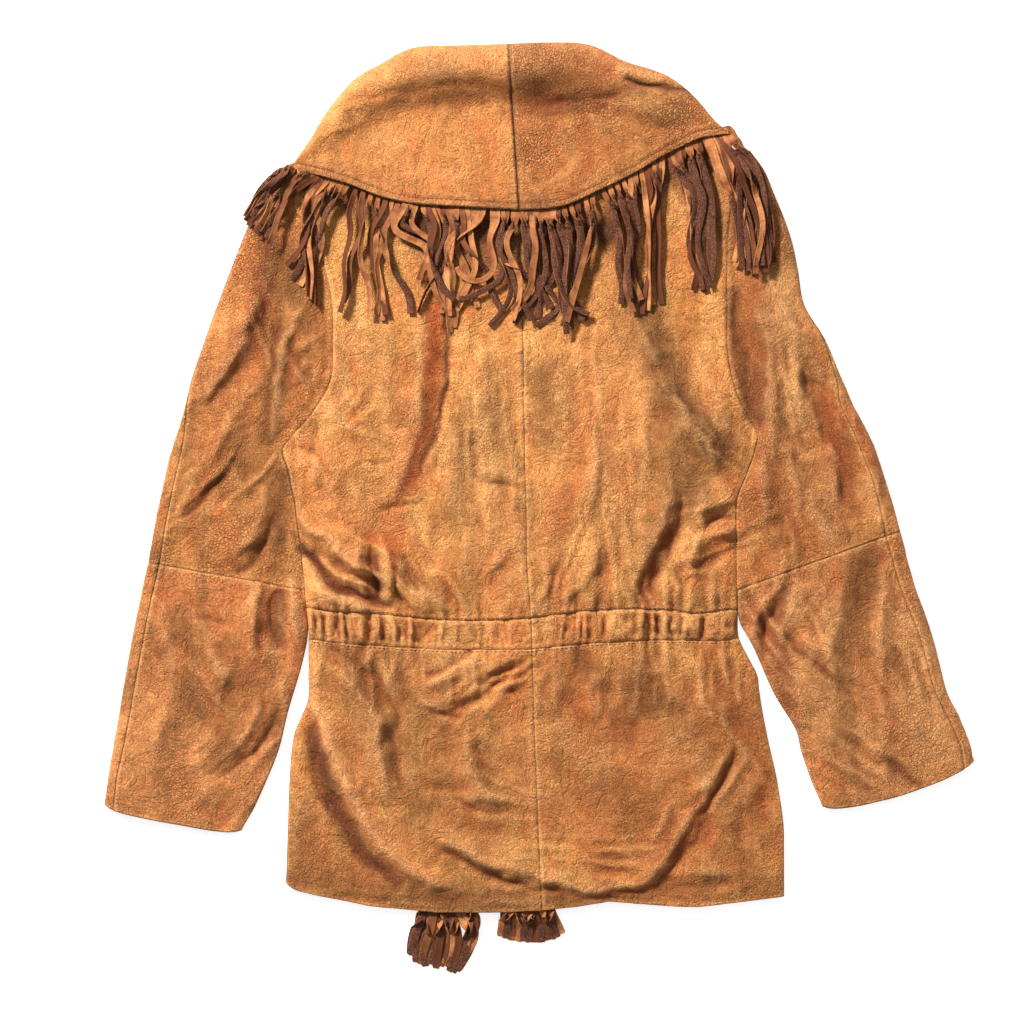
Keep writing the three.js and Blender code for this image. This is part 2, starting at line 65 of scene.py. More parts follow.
# ---- tables: named columns, a row for each section or fold ----
class Table:
    """Rows of named columns, written as text with rows parted by semicolons or line ends, and read smoothly at a
    fractional row or by the value of a key column."""

    def __init__(self, names, text):
        self.names = names.split()
        lines = [line for line in text.splitlines() if not line.strip().startswith("#")]
        self.rows = np.array([row.split() for row in ";".join(lines).split(";") if row.strip()], dtype=float)

    def col(self, name):
        return self.rows[:, self.names.index(name)]

    def at(self, row, name):
        """Cubic Hermite through the rows, flat where a column turns, and straight on past the ends."""
        p = self.col(name)
        n = len(p)
        row = np.asarray(row, dtype=float)
        i = np.clip(np.floor(row).astype(int), 0, n - 2)
        t = row - i
        p0, p1, p2, p3 = (p[np.clip(i + k, 0, n - 1)] for k in (-1, 0, 1, 2))
        m1 = np.where((p1 - p0) * (p2 - p1) <= 0, 0, (p2 - p0) / 2)
        m2 = np.where((p2 - p1) * (p3 - p2) <= 0, 0, (p3 - p1) / 2)
        m1 = np.where(i > 0, m1, p2 - p1)
        m2 = np.where(i < n - 2, m2, p2 - p1)
        t2, t3 = t * t, t * t * t
        smooth = (
            (2 * t3 - 3 * t2 + 1) * p1
            + (t3 - 2 * t2 + t) * m1
            + (3 * t2 - 2 * t3) * p2
            + (t3 - t2) * m2
        )
        return np.where(t < 0, p1 + (p2 - p1) * t, np.where(t > 1, p2 + (p2 - p1) * (t - 1), smooth))

    def points(self, row, names):
        """Several columns side by side, as coordinates."""
        return np.stack([self.at(row, name) for name in names.split()], axis=1)

    def row_at(self, key, value):
        """The fractional row where the key column has this value, straight between rows and past the ends."""
        k = self.col(key)
        sign = 1 if k[-1] > k[0] else -1
        value = np.asarray(value, dtype=float)
        i = np.clip(np.searchsorted(sign * k, sign * value) - 1, 0, len(k) - 2)
        return i + (value - k[i]) / (k[i + 1] - k[i])

    def look_up(self, key, value, name):
        k = self.col(key)
        sign = 1 if k[-1] > k[0] else -1
        return np.interp(sign * np.asarray(value, dtype=float), sign * k, self.col(name))


BODY = Table(
    "y left seam right roll",
    """
    406 -250 -28.5 182 0; 330 -244 -27 192 0; 305 -241 -26 194 0; 273 -245 -20 193 0; 247 -228 -19 190 0
    210 -214 -18 188.5 0; 173 -206.5 -17 188.5 0; 137 -206 -15.5 188.5 0; 101 -207 -15 193 0; 80 -216 -15 200 0
    59 -231 -14.5 211 0; 40 -248 -14 219 0; 28 -257 -14 217 1; 8 -251.5 -13.5 210 1; -28 -244 -12.5 198 1
    -90 -236.5 -11.5 198.5 1; -135 -232 -8 199.5 1; -160 -230 -7 200.5 1; -176 -230 -6.5 208 1; -198 -230.5 -6 219 1
    -215 -230 -5 221.5 1; -258 -245 -4 229 1; -303 -249.5 -2 239 1; -360 -251.5 0 246 1; -440 -254.5 4 246 1
    """,
)
SHOULDERS = Table(
    "x y",
    """
    -250 296; -238 306; -220 326; -200 350; -176 372; -122 390; 50 390; 84 388; 124 378; 147 366; 168 349; 186 332
    196 322
    """,
)
CASING_TOP = Table(
    "x y",
    """
    -235 -129.5; -211 -133.5; -162 -136.5; -98 -142.5; -66 -143.5; -13 -141.5; 46 -133.5; 95 -131.5; 133 -133
    157 -136.5; 200 -131.5
    """,
)
CASING_FOOT = Table(
    "x y",
    """
    -235 -161; -191 -166.5; -146 -169.5; -91 -172.5; -10 -172; 48 -166.5; 115 -162.5; 182 -163.5; 200 -161
    """,
)
HEM = Table(
    "x y",
    """
    -256 -402; -250 -409; -242 -413.5; -225 -417.5; -170 -428.5; -102 -435; -35 -435; 10 -432.5; 37 -429.5; 70 -424
    127 -428.5; 160 -429.5; 205 -424.5; 247 -419
    """,
)
FRONT_EDGE = Table(
    "y left right",
    """
    400 -122 50; 300 -98 28; 175 -72 8; 110 -56 -12; 0 -56 -12; -150 -62 -8; -300 -90 -2; -440 -126 12
    """,
)
SLEEVE = "iy ox oy wrap"
LEFT_SLEEVE = Table(
    SLEEVE,
    """
    306 -262 306 .1; 273 -281 268 .1; 247 -292.5 243 .1; 210 -307.5 205 .1; 173 -321.5 168 .1; 137 -332.5 137 .1
    101 -345.5 99 .1; 80 -353 76 1; 59 -358 57 4; 40 -365 36 9; 28 -371 16 11; 8 -378 -17 11; -28 -384 -45 11
    -113 -391 -84.5 11
    """,
)
RIGHT_SLEEVE = Table(
    SLEEVE,
    """
    330 208 329 .1; 306 226 303 .1; 280 236 279 .1; 255 247 252 .1; 230 254.5 229 .1; 202 260 202 .1
    170 266.5 167 .1; 137 286.5 134 1; 101 303 95 5; 80 315 72 12; 59 325 54 13; 40 334 36 14; 28 338 26 14
    8 347 -1 13; -28 353 -20 13; -113 362.5 -53 15
    """,
)
FOREARM = "ix iy ox oy wrap sag"
LEFT_FOREARM = Table(
    FOREARM,
    """
    -233.4 -112.7 -391 -84.2 11 0; -230.3 -150 -403 -140 11 0; -237 -188 -414 -200 11 0
    -250.5 -234 -421.5 -245 11 0; -259.5 -271 -427.5 -279 10 0; -272.5 -304 -431.5 -303 9 0
    -297 -358.5 -435 -333 9 1
    """,
)
RIGHT_FOREARM = Table(
    FOREARM,
    """
    198.8 -112.7 362.5 -52.7 15 0; 200.6 -142 376 -105 14 0; 216 -172.5 393.5 -155 13 0; 235.5 -216 408 -211 12 0
    257 -252 421.5 -240 11 0; 264 -278 432.5 -268 10 1; 284 -335 436 -289 10 7
    """,
)
COLLAR = "rx ry ex ey crest fall low under"
LEFT_COLLAR = Table(
    COLLAR,
    """
    -30 431.5 -19 267 34 13 7 41; -78 430 -74 270 33 13 7 39.5; -125 428 -123 273 28 13 6 37
    -158 412 -156 280 24 13 4 14; -184 397 -190 293 21 13 2 9; -210 367 -218 301 18 13 1 7
    -228 338 -235 305 15 13 .8 5; -244 315 -246 307 12 11.5 .8 1.5
    """,
)
RIGHT_COLLAR = Table(
    COLLAR,
    """
    -30 431.5 -19 267 34 13 7 41; 9 433 22 270 33 13 7 42.5; 50 431 60 286 29 13 6 40; 86 415 96 304 26 13 4 16
    113 407 121 319 23 13 2 12; 133 398.5 142 330 20 13 1 10; 155 381 162 339 17 13 .8 8
    176.5 356 180 342 14 12.5 .8 5; 189 347 191.5 343.5 12 11.5 .8 1
    """,
)
LAPEL = "lx ly"
LEFT_LAPEL = Table(LAPEL, "-60 104; -102 112; -150 140; -178 170; -196 200; -205 225")
RIGHT_LAPEL = Table(LAPEL, "2 104; 40 112; 90 140; 124 170; 148 195; 166 212; 176 225")
LAPEL_FRINGE = 105.0

# Folds: a ridge, or a trough where rise is negative, from one end to the other, bowed sideways to the right of
# somebody walking along it. lean makes one side steep: above 0 it is the walker's right side, below 0 the left.
FOLDS = Table(
    "x1 y1 x2 y2 bow width rise lean",
    """
    # upper back, left half
    -113 172 -120 66 -4 19 7.5 -.5; -116 92 -142 -12 -7 19 7.5 -.5; -91 168 -98 66 -4 2.6 -2 0
    -97 86 -121 -2 -6 2.6 -2 0; -150 140 -140 40 4 24 3 0; -186 11 -152 13 0 3.6 -1.6 0; -176 8 -118 -22 -3 13 3 .4
    -166 -29 -118 -26 0 3.4 -1.8 0; -206 66 -196 -44 4 18 3.4 -.2; -222 40 -214 -40 5 9 2.4 -.3
    -236 -66 -160 -125 9 5 -10 0; -232 -44 -148 -104 8 13 11 .7; -234 -92 -176 -131 6 8 5 -.3
    -172 -70 -162 -118 2 4 -5 0; -184 -66 -174 -114 2 7 5 -.3; -160 -62 -149 -116 -4 8 6 -.5
    -148 -96 -126 -136 3 5 -4.5 0; -140 -86 -112 -130 3 9 5 -.4; -116 -108 -86 -134 3 9 4 .3
    -84 70 -74 -60 3 12 2.2 -.3; -58 130 -52 20 3 12 2 -.2; -53 -8 -14 -13 -1 3 -1.8 0; -56 2 -14 -4 -1 8 2.2 .3
    -20 -58 -60 -102 -3 9 3 -.4; -46 -14 -40 -80 2 10 2.4 -.3; -70 -60 -64 -130 2 9 2.2 -.3
    -200 130 -176 60 6 12 3 .3; -214 74 -170 40 4 9 3 .3; -240 34 -206 2 -3 6 -2.2 0
    # upper back, right half
    58 56 52 -30 -3 8 4 -.5; 20 60 14 -40 2 14 2.2 0; 30 120 28 26 -3 12 2.4 -.2; 60 -60 30 -122 -6 9 4 -.4
    96 110 104 -10 -5 13 3 -.2; 94 156 128 78 -4 20 7 -.3; 124 92 176 14 -6 16 6 -.4; 136 92 190 12 8 8 4 -.4
    136 12 128 -60 4 10 3.4 -.3; 138 -26 108 -112 -8 7 -5 0; 124 -20 96 -104 -8 11 6 -.6
    162 -16 140 -112 -6 12 5 -.3; 166 -50 198 -44 -3 4.5 -4 0; 158 -36 197 -30 -3 9 5 .5; 168 -66 197 -60 -2 8 4 .3
    10 -78 8 -134 1 7 3 -.2; 30 -96 28 -134 1 6 2.4 -.2; 52 -72 50 -132 1 8 3.4 -.3; 74 -88 76 -132 1 7 3.4 -.3
    94 -76 96 -132 2 7 3.6 -.3; 127 -74 124 -132 2 7 3.6 -.3; 152 -84 150 -132 -2 7 3.6 -.3
    176 -96 176 -132 1 6 3 -.2; 162 124 186 46 -5 11 4 -.3
    # skirt
    -222 -232 -184 -318 5 14 9 .5; -190 -304 -112 -402 8 15 9 .5; -134 -390 -80 -413 3 12 4 .4
    -232 -262 -204 -332 5 9 -4.5 0; -208 -320 -146 -404 7 9 -4.5 0; -225 -224 -186 -306 4 7 3.4 .3
    -193 -178 -142 -240 -8 6 -4 0; -142 -234 -138 -306 3 7 -4 0; -208 -188 -158 -252 -8 11 6 -.4
    -158 -242 -154 -314 3 12 5.5 -.4; -114 -196 -96 -191 1 4 -2.6 0; -106 -234 -79 -239 1 4 -2.6 0
    -78 -229 -18 -182 4 4.5 -3 0; -86 -220 -26 -174 4 8 4.5 .4; -52 -232 -24 -192 2 6 2.8 .3
    -112 -206 -60 -182 4 8 3.4 .4; -120 -224 -84 -227 2 7 2.8 .4; -64 -270 -38 -312 4 8 -3 0
    -76 -262 -50 -316 5 10 3.6 -.5; -74 -328 -36 -331 1 4 -2.6 0; -78 -318 -30 -321 1 9 3.4 .5
    -98 -360 16 -400 5 11 6.5 .6; 8 -401 98 -401 8 11 5.5 .6; 90 -404 152 -342 8 11 5.5 .5
    146 -350 192 -278 3 10 5 .5; -96 -371 14 -412 5 4.5 -3.6 0; 124 -398 178 -316 8 6 -4.4 0
    176 -318 200 -266 2 6 -3 0; 146 -410 197 -409 0 4.5 -2.4 0; 142 -398 200 -397 0 8 2.4 .4
    17 -174 18 -228 1 8 3.6 -.3; 70 -178 78 -262 4 16 3.6 -.2; 100 -174 96 -238 -2 8 3.5 -.3
    130 -174 142 -222 2 7 3 -.3; 158 -174 176 -238 3 9 4 -.3; 186 -174 206 -228 2 7 3.4 -.3
    -170 -174 -184 -218 3 8 3.4 -.3; -150 -174 -148 -206 1 6 2.4 -.2; -216 -170 -222 -214 2 7 3 -.3
    60 -262 130 -330 -8 26 3.4 .2; 178 -200 222 -304 5 13 4.6 -.4; 40 -340 90 -376 4 12 2.4 .3
    206 -330 232 -400 4 12 3 -.3; -244 -300 -240 -380 0 12 3 0
    # left sleeve
    -262 272 -284 156 -3 15 7.5 -.6; -284 170 -330 84 -6 14 8 -.6; -262 240 -274 146 -3 7 -4 0
    -232 174 -266 50 8 10 6.5 -.4; -246 200 -270 56 6 8 -5 0; -238 128 -212 142 0 6 2.4 .3
    -250 96 -226 116 0 5 2 .3; -302 22 -358 -36 -4 4 -3 0; -298 36 -356 -20 -4 10 4 -.6; -286 84 -332 12 4 12 4 -.4
    -262 -38 -300 -94 -5 4.5 -3.4 0; -270 -24 -310 -84 -6 10 4.4 -.6; -332 34 -372 -60 3 10 3 -.2
    -256 34 -252 -64 0 8 -4 0; -268 -116 -262 -164 4 7 -7 0; -284 -110 -280 -172 6 9 7 -.6
    -252 -106 -244 -162 -3 8 6 .4; -338 -136 -310 -145 0 4.5 -2.2 0; -264 -236 -308 -296 -6 5 -3 0
    -280 -226 -324 -290 -6 12 4 -.5; -366 -190 -388 -294 -3 12 3 -.2; -330 -168 -298 -206 3 9 3.6 .3
    -340 -250 -330 -322 4 12 3.2 -.3; -300 -180 -318 -234 3 10 3.8 -.3; -380 -120 -360 -190 0 10 2.6 -.3
    -340 120 -368 40 3 10 2.4 -.3; -310 10 -290 -40 -3 7 2.6 -.3
    # right sleeve
    198 205 211 38 -8 9 -4 0; 216 212 230 58 -6 11 6 .5; 236 192 264 68 -4 11 4.4 -.4; 270 100 292 84 0 3.6 -2 0
    250 152 284 102 -3 8 4 -.3; 272 92 322 -46 -6 14 -3.4 0; 260 102 300 -22 -5 10 5 -.5
    300 92 346 -36 -6 8 4.6 -.3; 240 98 236 18 4 10 4.5 .3; 224 42 226 -42 3 10 4.5 .3; 250 42 262 -42 -2 8 4 -.4
    274 -18 304 -76 3 9 3.6 -.4; 250 -116 222 -178 6 5 -3.4 0; 264 -110 236 -180 6 11 5 .4
    240 -114 214 -162 4 7 5 .3; 258 -176 312 -214 -3 4 -2.4 0; 262 -163 322 -202 -3 10 3.6 .6
    332 -70 318 -252 8 16 -3 0; 308 -82 296 -202 6 14 4 -.5; 352 -82 346 -244 6 10 4.4 .3
    346 -280 380 -310 0 4.5 -2.6 0; 250 -214 290 -258 -2 9 4.4 .4; 380 -118 402 -234 0 10 3.2 -.3
    290 -240 320 -300 3 11 3.4 -.4; 340 -250 350 -310 0 10 2.8 -.3; 290 120 306 80 0 7 2.4 -.3
    """,
)
# Fields of small wrinkles: an ellipse of long by wide turned by turn degrees from +X, its wrinkles running along
# it, pitch apart and depth high.
WRINKLES = Table(
    "x y long wide turn pitch depth",
    """
    -185 100 60 46 62 12 .8; -215 0 70 34 95 12 1.4; -185 -92 62 36 148 13 2.6; -100 -110 60 34 120 12 2
    -60 40 110 50 94 15 1.5; 60 40 110 60 94 15 1.3; 110 -96 92 40 92 12 1.9; 20 -100 50 60 70 13 1.5
    160 60 80 40 120 14 1.6; 178 -60 60 34 20 11 2; 100 -196 40 110 92 12 1.7; -130 -196 34 110 90 13 1.7
    -62 -214 64 34 30 11 1.9; 160 -340 90 44 55 16 1.8; -200 -330 90 40 125 15 1.8; -60 -330 70 50 165 15 1.6
    60 -390 110 30 178 14 1.6; -10 -424 250 12 0 12 .9; -262 160 90 34 110 12 1.8; -310 0 80 56 50 14 1.8
    -270 -150 62 40 98 13 2; -340 -200 90 50 130 17 1.3; -300 -280 70 50 55 15 1.9; 240 120 100 34 100 13 1.2
    296 40 90 44 114 12 1.5; 250 -150 66 44 122 12 2.2; 350 -190 100 50 112 15 1.8; 300 -270 80 40 145 15 1.8
    262 -60 70 50 100 13 1.4; -380 -80 120 26 105 16 1
    """,
)
# Folds of the collar, in the columns of FOLDS.
COLLAR_FOLDS = Table(
    "x1 y1 x2 y2 bow width rise lean",
    """
    90 397 152 380 -3 3.5 -6 0; 84 407 152 389 -4 8 4.5 .6; 70 374 132 352 -3 10 3 .3; 10 380 60 378 -2 8 2.4 .3
    30 352 96 346 -3 11 2.4 .3; -60 372 -20 366 -2 10 1.6 0; -214 338 -166 362 4 9 2.4 .3
    -160 330 -110 350 4 16 2 0; 6 292 44 322 3 8 2 -.3; -14 300 6 272 0 5 1.6 0; 104 350 152 352 2 6 -1.6 0
    -200 366 -90 392 -6 9 -3 0; -90 392 -28 382 -3 9 -3 0; -24 372 44 378 3 8 -3.4 0; 40 380 104 394 3 7 -3.4 0
    """,
)
# Colour in the hide and painted shade: soft strokes from one place to another. warm reddens: the hide's red
# patches, and painted reddish shade on the steep sides of folds, as on the long ridge left of the centre seam. olive
# turns brown green: the hide's olive patches, and painted shade in fold bands. dark is painted shade: under the
# fringe and the collar's edge, along the roll's shadow, in the slit over the waist, in creases and fold bands, on
# the right sleeve by the body's edge and over the right and lower skirt; it also darkens the hem. pale is partly
# rubbed nap and partly painted highlight on crests.
STROKES = Table(
    "x1 y1 x2 y2 width warm olive dark pale",
    """
    # upper back
    -101 165 -107 75 8 1 0 .22 0; -107 76 -130 -8 9 1 0 .2 0; -91 165 -97 80 1.8 .6 0 .7 0
    -97 80 -118 4 1.8 .6 0 .6 0; -114 150 -118 60 2.5 0 0 0 .6; -150 120 -140 60 20 0 .3 0 0
    -60 60 -50 -60 34 0 0 0 .3; 60 100 70 0 44 .15 0 0 .3; -160 60 -170 0 30 .1 0 0 .15
    40 -210 190 -260 46 .4 .2 .36 0; 190 -270 200 -380 40 .25 .3 .3 0; 20 -300 120 -360 44 .3 .15 .28 0
    -240 -402 -100 -424 18 .1 .5 .42 0; -100 -424 60 -420 19 .15 .45 .55 0; 60 -416 240 -412 15 .2 .4 .36 0
    -150 -200 -60 -330 50 .15 .4 .2 0; -190 -180 -120 -330 24 .1 .5 .3 0; -60 -60 -20 -120 26 0 .3 0 .1
    262 -130 300 -150 20 .1 0 0 .6; 366 -150 400 -270 24 .15 0 0 .7; 270 -200 330 -290 30 .15 0 0 .45
    240 200 262 60 15 .1 0 0 .85; 262 20 290 -40 16 .1 0 0 .5; 330 -10 344 -50 12 .2 0 0 .5
    -130 -184 -120 -200 22 .2 0 0 .2; -228 -150 -180 -154 9 .3 0 .1 .3; -120 -152 -60 -158 9 0 .4 .1 0
    20 -150 60 -152 9 .5 0 .1 0; 100 -148 150 -150 9 0 .4 .25 0; 170 -150 196 -148 8 .5 0 .3 0
    -122 110 -138 20 12 .5 0 0 0; -232 30 -214 -60 16 .5 0 0 .1; -208 20 -190 -60 18 .4 .1 0 0
    -74 75 -82 -35 9 0 .6 .1 0; -51 110 -50 50 12 0 .45 0 0; 8 110 10 45 14 .1 .65 .1 0
    -30 60 -36 -10 14 0 .2 0 .25; 49 100 48 20 9 .7 0 0 0; 40 10 24 -50 10 .6 0 0 0; 70 90 74 0 7 .5 .1 0 0
    88 60 90 -20 6 .55 0 0 0; 107 160 134 88 19 .05 1 .42 0; 134 88 180 20 17 .05 1 .5 0
    150 40 150 -20 24 .1 .8 .3 0; 138 20 118 -69 12 .2 .7 .4 0; 132 -40 104 -118 6 .7 .2 .6 0
    -12 -18 -12 -75 10 0 .6 .05 0; -125 -96 -100 -112 9 0 .6 .15 0; -80 -80 -60 -120 9 .1 .4 0 0
    -234 -68 -206 -103 4.4 .3 0 1.3 0; -206 -103 -163 -122 4.4 .3 0 1.3 0; -169 -78 -163 -118 4 .6 0 1.1 0
    -176 -60 -150 -64 6 .9 0 0 0; -150 -64 -146 -90 6 .9 0 0 0; -140 -84 -122 -112 5 0 .7 .4 0
    -200 -80 -170 -96 8 .5 0 .2 0; 170 70 196 40 8 .3 0 0 .3; 182 -60 196 -100 10 .5 0 0 0
    190 0 186 -50 9 .3 .2 0 0; 20 -90 20 -130 7 .4 .1 .1 0; 66 -90 64 -130 6 .5 .1 .15 0
    112 -96 110 -130 6 .3 .3 .2 0; 140 -90 138 -130 6 .3 .3 .2 0; 166 -80 164 -130 7 .2 .4 .2 0
    -190 130 -200 70 14 0 .35 0 .1; -164 100 -160 30 12 .1 .35 0 .1; -60 0 -50 -60 14 0 0 0 .3
    -240 292 -180 274 15 .2 .1 .9 0; -180 274 -120 254 14 .2 .1 .9 0; -120 252 60 250 19 .2 .1 1.25 0
    60 256 100 284 16 .2 .1 1 0; 90 284 190 326 15 .2 .1 .9 0; -60 226 40 216 20 .2 .2 .75 0
    -110 230 -100 190 12 .2 .2 .6 0; 150 290 200 240 14 .2 .2 .6 0
    # skirt
    -180 -418 -90 -428 6 .1 .5 .4 0; -90 -428 20 -426 6 .1 .5 .4 0; 20 -420 200 -424 4 .2 .3 .25 0
    -231 -258 -208 -320 8 .1 .8 .95 0; -208 -320 -173 -377 10 .1 .8 1 0; -173 -377 -144 -408 9 .1 .8 .9 0
    -220 -232 -188 -310 6 .4 0 0 .4; -184 -316 -120 -392 7 .6 0 0 .4; 58 -232 100 -262 26 .6 .1 .3 0
    40 -178 60 -200 12 0 .7 .25 0; 96 -200 130 -230 16 .1 .8 .3 0; 150 -300 170 -360 12 .7 .1 .2 0
    -30 -260 -10 -330 18 .4 0 0 .25; 80 -300 110 -330 16 0 .5 .2 0; 24 -250 60 -300 12 0 0 0 .45
    -100 -184 -60 -200 16 .2 0 0 .4; -180 -240 -160 -300 12 .2 0 0 .35; -236 -330 -240 -400 16 0 .65 .15 .1
    -222 -250 -180 -360 9 .5 0 0 .1; -170 -370 -100 -405 8 .5 0 0 .1; -168 -192 -143 -281 7 .1 .6 .3 0
    -143 -281 -138 -322 8 .1 .6 .25 0; -56 -275 -56 -318 17 0 .6 .1 0; -90 -260 -100 -330 20 0 .4 0 0
    -98 -368 -34 -398 5 .2 .4 .55 0; -34 -398 10 -410 5 .2 .3 .4 0; 14 -412 90 -414 5 .5 .2 .3 0
    94 -410 148 -356 8 .8 .2 .35 0; 148 -356 180 -318 7 .7 .2 .2 0; 220 -280 222 -340 9 .8 .1 .35 0
    178 -185 200 -240 11 .5 .3 .3 0; 110 -185 110 -220 20 .3 .4 .05 0; 40 -260 90 -320 26 .5 .1 0 0
    0 -330 60 -360 22 .5 .1 0 0; 60 -268 66 -278 5 0 0 0 1; 140 -260 170 -300 18 .1 .1 0 .35
    60 -210 120 -240 22 .4 .25 .05 0; 10 -180 10 -215 8 .5 0 .1 0; -120 -200 -70 -240 14 .35 .3 .05 0
    -30 -190 -20 -230 12 .5 .05 0 0; 160 -390 220 -400 14 .15 .35 0 0; -80 -400 -20 -420 10 .1 .4 .1 0
    # left sleeve
    -272 240 -279 160 6 .5 0 .6 0; -279 165 -320 96 6 .6 0 .5 0; -262 215 -240 180 14 0 .8 .2 0
    -256 150 -272 40 8 .05 .8 .3 0; -300 25 -270 -10 22 0 .5 0 0; -302 20 -356 -36 4 .1 .4 .5 0
    -256 0 -258 -60 8 0 .7 .45 0; -262 -44 -298 -92 5 .1 .4 .5 0; -310 -165 -316 -280 11 .05 .6 .05 0
    -262 -116 -262 -160 6 0 .5 .7 0; -264 -240 -306 -292 6 .2 .3 .4 0; -292 -200 -270 -260 10 .2 .35 .1 0
    -225 160 -235 110 9 .1 .4 .1 0; -340 100 -360 20 12 .1 .2 0 .1; -400 -220 -412 -300 10 .1 0 0 .2
    -310 -320 -280 -340 12 .2 .2 .1 0; -350 -120 -300 -150 16 .3 .2 0 0; -300 70 -320 100 14 .3 0 0 0
    # right sleeve
    197 185 208 60 6 .3 .2 .8 0; 228 165 224 60 8 .3 .7 .25 0; 215 200 230 150 8 .5 .1 .3 0
    290 70 300 0 14 .9 .1 .3 0; 262 120 282 60 9 .4 .4 .1 0; 226 50 230 -40 9 .5 .2 .15 0
    320 60 340 -20 8 .4 .1 .1 0; 329 -85 326 -112 18 .2 .6 .35 0; 318 -120 306 -200 13 .15 .6 .15 0
    308 -210 306 -290 9 .2 .5 .15 0; 226 -140 247 -226 9 .7 .1 .5 0; 250 -120 226 -172 5 .3 .2 .6 0
    262 -178 310 -212 5 .3 .2 .4 0; 350 -120 356 -220 12 .4 .1 0 0; 270 -130 280 -170 14 .3 0 0 .2
    346 -282 380 -308 5 .2 .2 .5 0; 262 180 270 140 9 .2 .1 0 .2; 380 -180 400 -260 10 .3 0 0 .1
    # collar
    4 363 50 368 2.4 .3 .2 .6 0; 50 368 84 379 2.4 .3 .2 .7 0; 84 379 108 391 2.4 .3 .2 .8 0
    92 399 150 381 2.6 .2 0 1.1 0; 100 372 150 360 8 0 0 0 .4; -190 361 -144 372 6 .1 .5 .35 0
    -144 372 -86 382 8 .1 .5 .35 0; -86 382 -32 377 8 .15 .4 .35 0; -28 365 29 370 7 .35 .3 .4 0
    29 371 68 384 6 .3 .3 .4 0; 68 384 108 391 6 .35 .2 .5 0; 10 408 60 410 14 .5 .2 .05 0
    -121 412 -90 400 14 0 .45 .05 0; 60 340 110 350 16 .2 .25 0 0; 92 397 150 381 4 .2 0 .7 0
    20 300 0 320 14 .3 0 0 .1; -160 330 -100 300 26 0 0 0 .2
    """,
)


# ---- noise and small helpers ----
def smooth(v):
    v = np.clip(v, 0, 1)
    return v * v * (3 - 2 * v)


def mix(a, b, t):
    return a + (b - a) * t


def unit(v):
    return v / np.maximum(np.linalg.norm(v, axis=-1, keepdims=True), 1e-9)


def run_along(points):
    """How far along a line each of its points is."""
    return np.concatenate([[0], np.cumsum(np.linalg.norm(np.diff(points, axis=0), axis=1))])


def noise(x, y, size, seed):
    """Smooth random hills from -1 to 1: heights on a square lattice of this size, blended between its corners."""
    lattice = np.random.default_rng(seed).uniform(-1, 1, (256, 256))
    gx, gy = x / size + 97.3, y / size + 61.7
    ix, iy = np.floor(gx).astype(int), np.floor(gy).astype(int)
    fx, fy = smooth(gx - ix), smooth(gy - iy)
    ix, iy = ix % 255, iy % 255
    low = mix(lattice[iy, ix], lattice[iy, ix + 1], fx)
    high = mix(lattice[iy + 1, ix], lattice[iy + 1, ix + 1], fx)
    return mix(low, high, fy)


def warped(x, y, seed):
    """The place moved a few millimetres by two sizes of hills, so that what is drawn there wanders."""
    dx = 5 * noise(x, y, 38, seed) + 2 * noise(x, y, 13, seed + 1)
    dy = 5 * noise(x, y, 38, seed + 2) + 2 * noise(x, y, 13, seed + 3)
    return x + dx, y + dy


def fold_rise(x, y, folds):
    """Sum of ridges along bowed lines. Each narrows and sinks to both its ends, and its steep side is narrow and
    its other side long."""
    rise = np.zeros_like(x)
    wx, wy = warped(x, y, 5)
    for x1, y1, x2, y2, bow, width, height, lean in folds.rows:
        dx, dy = x2 - x1, y2 - y1
        length = math.hypot(dx, dy)
        along = ((wx - x1) * dx + (wy - y1) * dy) / length**2
        taper = np.sin(np.pi * np.clip((along + 0.15) / 1.3, 0, 1)) ** 0.8
        across = ((wx - x1) * dy - (wy - y1) * dx) / length
        off = across - bow * 4 * along * (1 - along)
        steep = off * np.sign(lean) > 0 if lean else off > 1e9
        wide = width * (0.5 + 0.5 * taper) * np.where(steep, 1 - 0.8 * abs(lean), 1 + 1.1 * abs(lean))
        rise += height * taper * np.exp(-np.abs(off / wide) ** 1.4)
    return rise


def wrinkle_rise(x, y):
    """Fields of small wrinkles: rounded ridges and sharper creases, long along the field and wandering."""
    rise = np.zeros_like(x)
    wx, wy = warped(x, y, 12)
    for k, (px, py, long, wide, angle, pitch, depth) in enumerate(WRINKLES.rows):
        c, s = math.cos(math.radians(angle)), math.sin(math.radians(angle))
        a, b = (wx - px) * c + (wy - py) * s, (wy - py) * c - (wx - px) * s
        weight = np.exp(-(((a / long) ** 2 + (b / wide) ** 2) ** 1.5))
        hills = noise(a / 4.5, b, pitch, 200 + k)
        rise += depth * weight * (1 - 2.6 * np.abs(hills) + 0.5 * noise(a / 3, b, pitch * 0.5, 240 + k))
    return rise


def gathers(x, reach, seed):
    """Uneven ridges side by side along a gathered seam, dying out away from it."""
    flat = np.zeros_like(x)
    slant = x + 0.25 * reach * noise(x, flat, 34, seed + 3)
    ridges = noise(slant, flat, 6, seed) + 0.6 * noise(slant, flat, 3.2, seed + 1)
    return ridges * np.exp(-np.abs(reach) / (14 + 10 * noise(x, flat, 26, seed + 2)))


def seam_shape(away, along, seed):
    """A sewn seam: a narrow groove, a low welt beside it and short puckers across it."""
    pucker = noise(along, away * 0.3, 4.6, seed) * np.exp(-((away / 8) ** 2))
    return -0.9 * np.exp(-((away / 1.2) ** 2)) + 0.45 * np.exp(-((np.abs(away) - 3.2) / 2) ** 2) + 0.6 * pucker


def outline(name):
    return lambda y: BODY.at(BODY.row_at("y", y), name)


left, seam, right = (outline(name) for name in ("left", "seam", "right"))


def folded(y):
    return np.clip(BODY.look_up("y", y, "roll"), 0, 1)


def along_x(table, shift=0.0):
    return lambda x: table.look_up("x", x, "y") + shift


